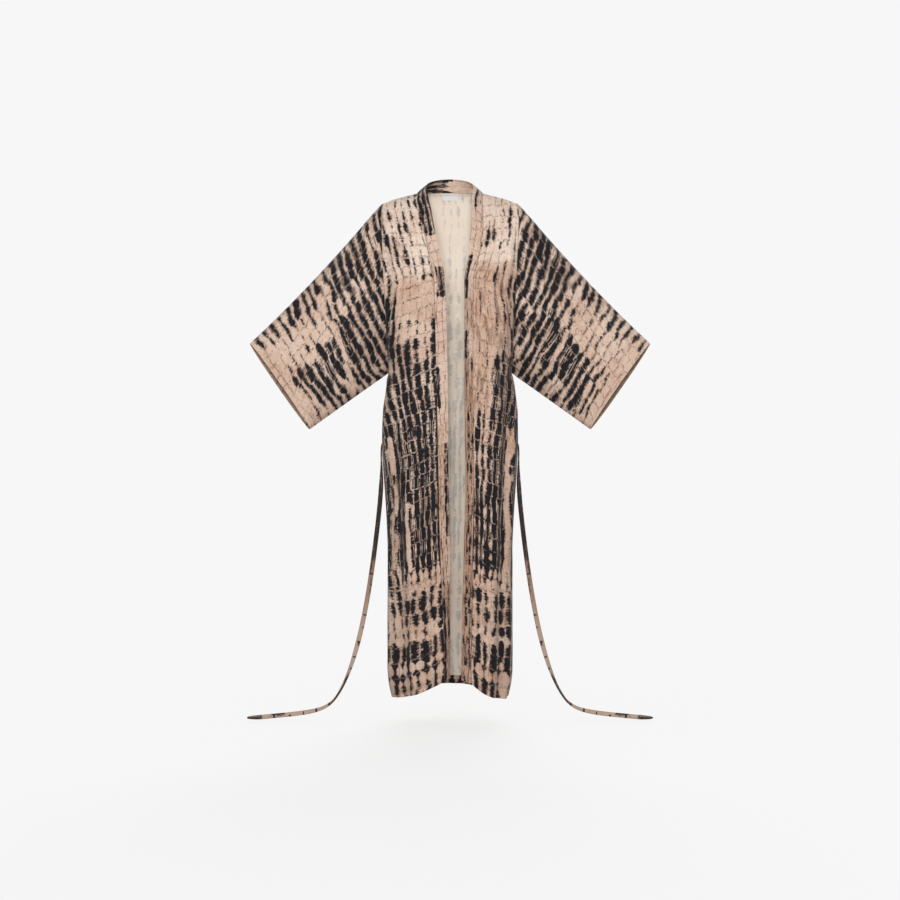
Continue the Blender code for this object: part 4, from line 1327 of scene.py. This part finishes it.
def sleeveFields(stations, share, side):
    station, down = np.meshgrid(stations, share, indexing="ij")
    top = station ** (1 / (1 + sleeveDye["fan"] * down))
    lead = sleeveDye["lead"] * down**1.5
    column = (station + (1 - station) * lead) * sleeveDye["columns"] + (120.2 if side < 0 else 160.8)
    half = sleeveDye["armhole"] + (sleeveDye["cuff"] - sleeveDye["armhole"]) * station
    row = down * half / dye["rowPitch"] + (90 if side < 0 else 95.5)
    seam, hem = (along * sleeve["length"] for along in (station, 1 - station))
    return {**paintDye(top, down, column, sleeveDye), "row": row, "seam": seam, "hem": hem}


def bandFields(grid, drop):
    across = rowLengths(grid)
    drops = drop[:, None] * np.ones_like(across)
    along = summed(np.linalg.norm(np.diff(grid[:, 0], axis=0), axis=1)) * 1000
    fields = paintDye(across, drops, across / bandDye["columnPitch"] + 200.1, bandDye)
    slant = along[:, None] + across * bandDye["slant"] * np.sign(drops)
    row = slant / bandDye["rowPitch"] + 20
    return {**fields, "row": row, "seam": across, "hem": np.full(across.shape, 99.0)}


makeCamera()
litByKey = makeStudio()
print("camera, paper and lights are in")

finishes = {
    "face": printCloth("printCloth"),
    "reverse": reverseCloth("printClothReverse"),
    "band": printCloth("bandCloth"),
    "belt": beltCloth("beltCloth"),
    "label": ribbonCloth("labelRibbon"),
}
print("cloth finishes are in")

fronts, levels, sleeves, shares, downs = {}, {}, {}, {}, {}
for side in (-1, 1):
    fronts[side], levels[side] = frontGrid(side)
    sleeves[side], shares[side], downs[side] = sleeveGrid(side)
back = backGrid()
backLevel = -back[:, :, 2] * 1000
stations = sleeveStations()
neckband, bandDrop = bandGrid(fronts)
grids = {
    "front_right": softened(fronts[-1]),
    "front_left": softened(fronts[1]),
    "back": softened(back),
    "sleeve_right": softened(sleeves[-1]),
    "sleeve_left": softened(sleeves[1]),
    "neckband": neckband,
}
print("cloth grids", *(grid.shape for grid in grids.values()))


def skinNormals():
    # a sleeve is a tube, and the grids of the right side turn the other way
    skins = [(grid, "sleeve" in node, "right" not in node) for node, grid in grids.items()]
    found = dict(zip(grids, weldedNormals(skins)))
    for node in ("sleeve_right", "sleeve_left"):
        armpit = found[node].shape[1] // 2
        found[node][0, armpit] = found[node][1, armpit]
    return found


fields = {
    "front_right": frontFields(grids["front_right"], levels[-1], -1),
    "front_left": frontFields(grids["front_left"], levels[1], 1),
    "back": backFields(grids["back"], backLevel),
    "sleeve_right": sleeveFields(stations, shares[-1], -1),
    "sleeve_left": sleeveFields(stations, shares[1], 1),
    "neckband": bandFields(neckband, bandDrop),
}
heights = {
    "front_right": bodyHeight(body["rightFolds"], grids["front_right"], False, 1.0),
    "front_left": bodyHeight(body["leftFolds"], grids["front_left"], False, 2.0),
    "back": bodyHeight(body["backFolds"], grids["back"], True, 3.0),
    "sleeve_right": sleeveHeight(stations[:, None], downs[-1], shares[-1], 8.0),
    "sleeve_left": sleeveHeight(stations[:, None], downs[1], shares[1], 9.0),
}
normals = skinNormals()
for node, height in heights.items():
    grids[node] = grids[node] + normals[node] * height[:, :, None] / 1000
normals = skinNormals()
for grid in (grids["sleeve_right"], grids["sleeve_left"]):
    armpit = grid.shape[1] // 2
    grid[0, armpit] += unit(grid[1, armpit] - grid[0, armpit]) * sleeve["armpitClear"] / 1000

# How each piece of cloth is made up and cut: the name of its mesh, the width, the length and,
# where it isn't a rectangle, the area of its flat cloth in metres, and what carries it.
cuts = {
    "front_right": ("frontRight", 0.240, 1.270, 0.225, ["back", "neckband"]),
    "front_left": ("frontLeft", 0.240, 1.270, 0.203, ["back", "neckband"]),
    "back": ("backBody", 0.450, 1.270, 0.517, ["neckband"]),
    "sleeve_right": ("sleeveRight", 0.930, 0.470, 0.2305, ["back", "front_right"]),
    "sleeve_left": ("sleeveLeft", 0.930, 0.470, 0.2305, ["back", "front_left"]),
    "neckband": ("neckbandCloth", 0.028, 2.700, None, ["back"]),
    "neck_label": ("neckLabel", 0.046, 0.015, None, ["back"]),
}
pieces, beltPaths = {}, {}
for node, grid in grids.items():
    tube, banded = "sleeve" in node, node == "neckband"
    kind = sleeve if tube else band if banded else body
    materials = [finishes["band"]] if banded else [finishes["face"], finishes["reverse"]]
    edges = (np.s_[:, 0],) if banded else (np.s_[0],) if tube else (np.s_[0], np.s_[:, 0], np.s_[:, -1])
    sewn = sunk(grid, normals[node], edges)
    hem = (0, 0) if banded else (body["hemRows"], kind["hemExtra"])
    cloth = normals[node], kind["cloth"], materials, fields[node]
    pieces[node] = shell(cuts[node][0], sewn, *cloth, *hem, tube)
backSkin = grids["back"], normals["back"]
pieces["neck_label"] = neckLabel(cuts["neck_label"][0], *backSkin, [finishes["label"]])
strapCloth = [finishes["belt"]]
for side, end in ((-1, "Right"), (1, "Left")):
    node = "belt_end_" + end.lower()
    pieces[node], beltPaths[node] = beltEnd("beltEnd" + end, side, strapCloth)
pieces["belt_back"] = beltBehind("beltBehind", strapCloth)
for side, end in ((-1, "Right"), (1, "Left")):
    pieces["belt_loop_" + end.lower()] = beltLoop("beltLoop" + end, side, strapCloth)
print("belt, loops and label are in")

for node, piece in pieces.items():
    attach(piece, "root")
    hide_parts(node)
    litByKey.objects.link(piece)
    print(node, "has", sum(len(face.vertices) - 2 for face in piece.data.polygons), "triangles")
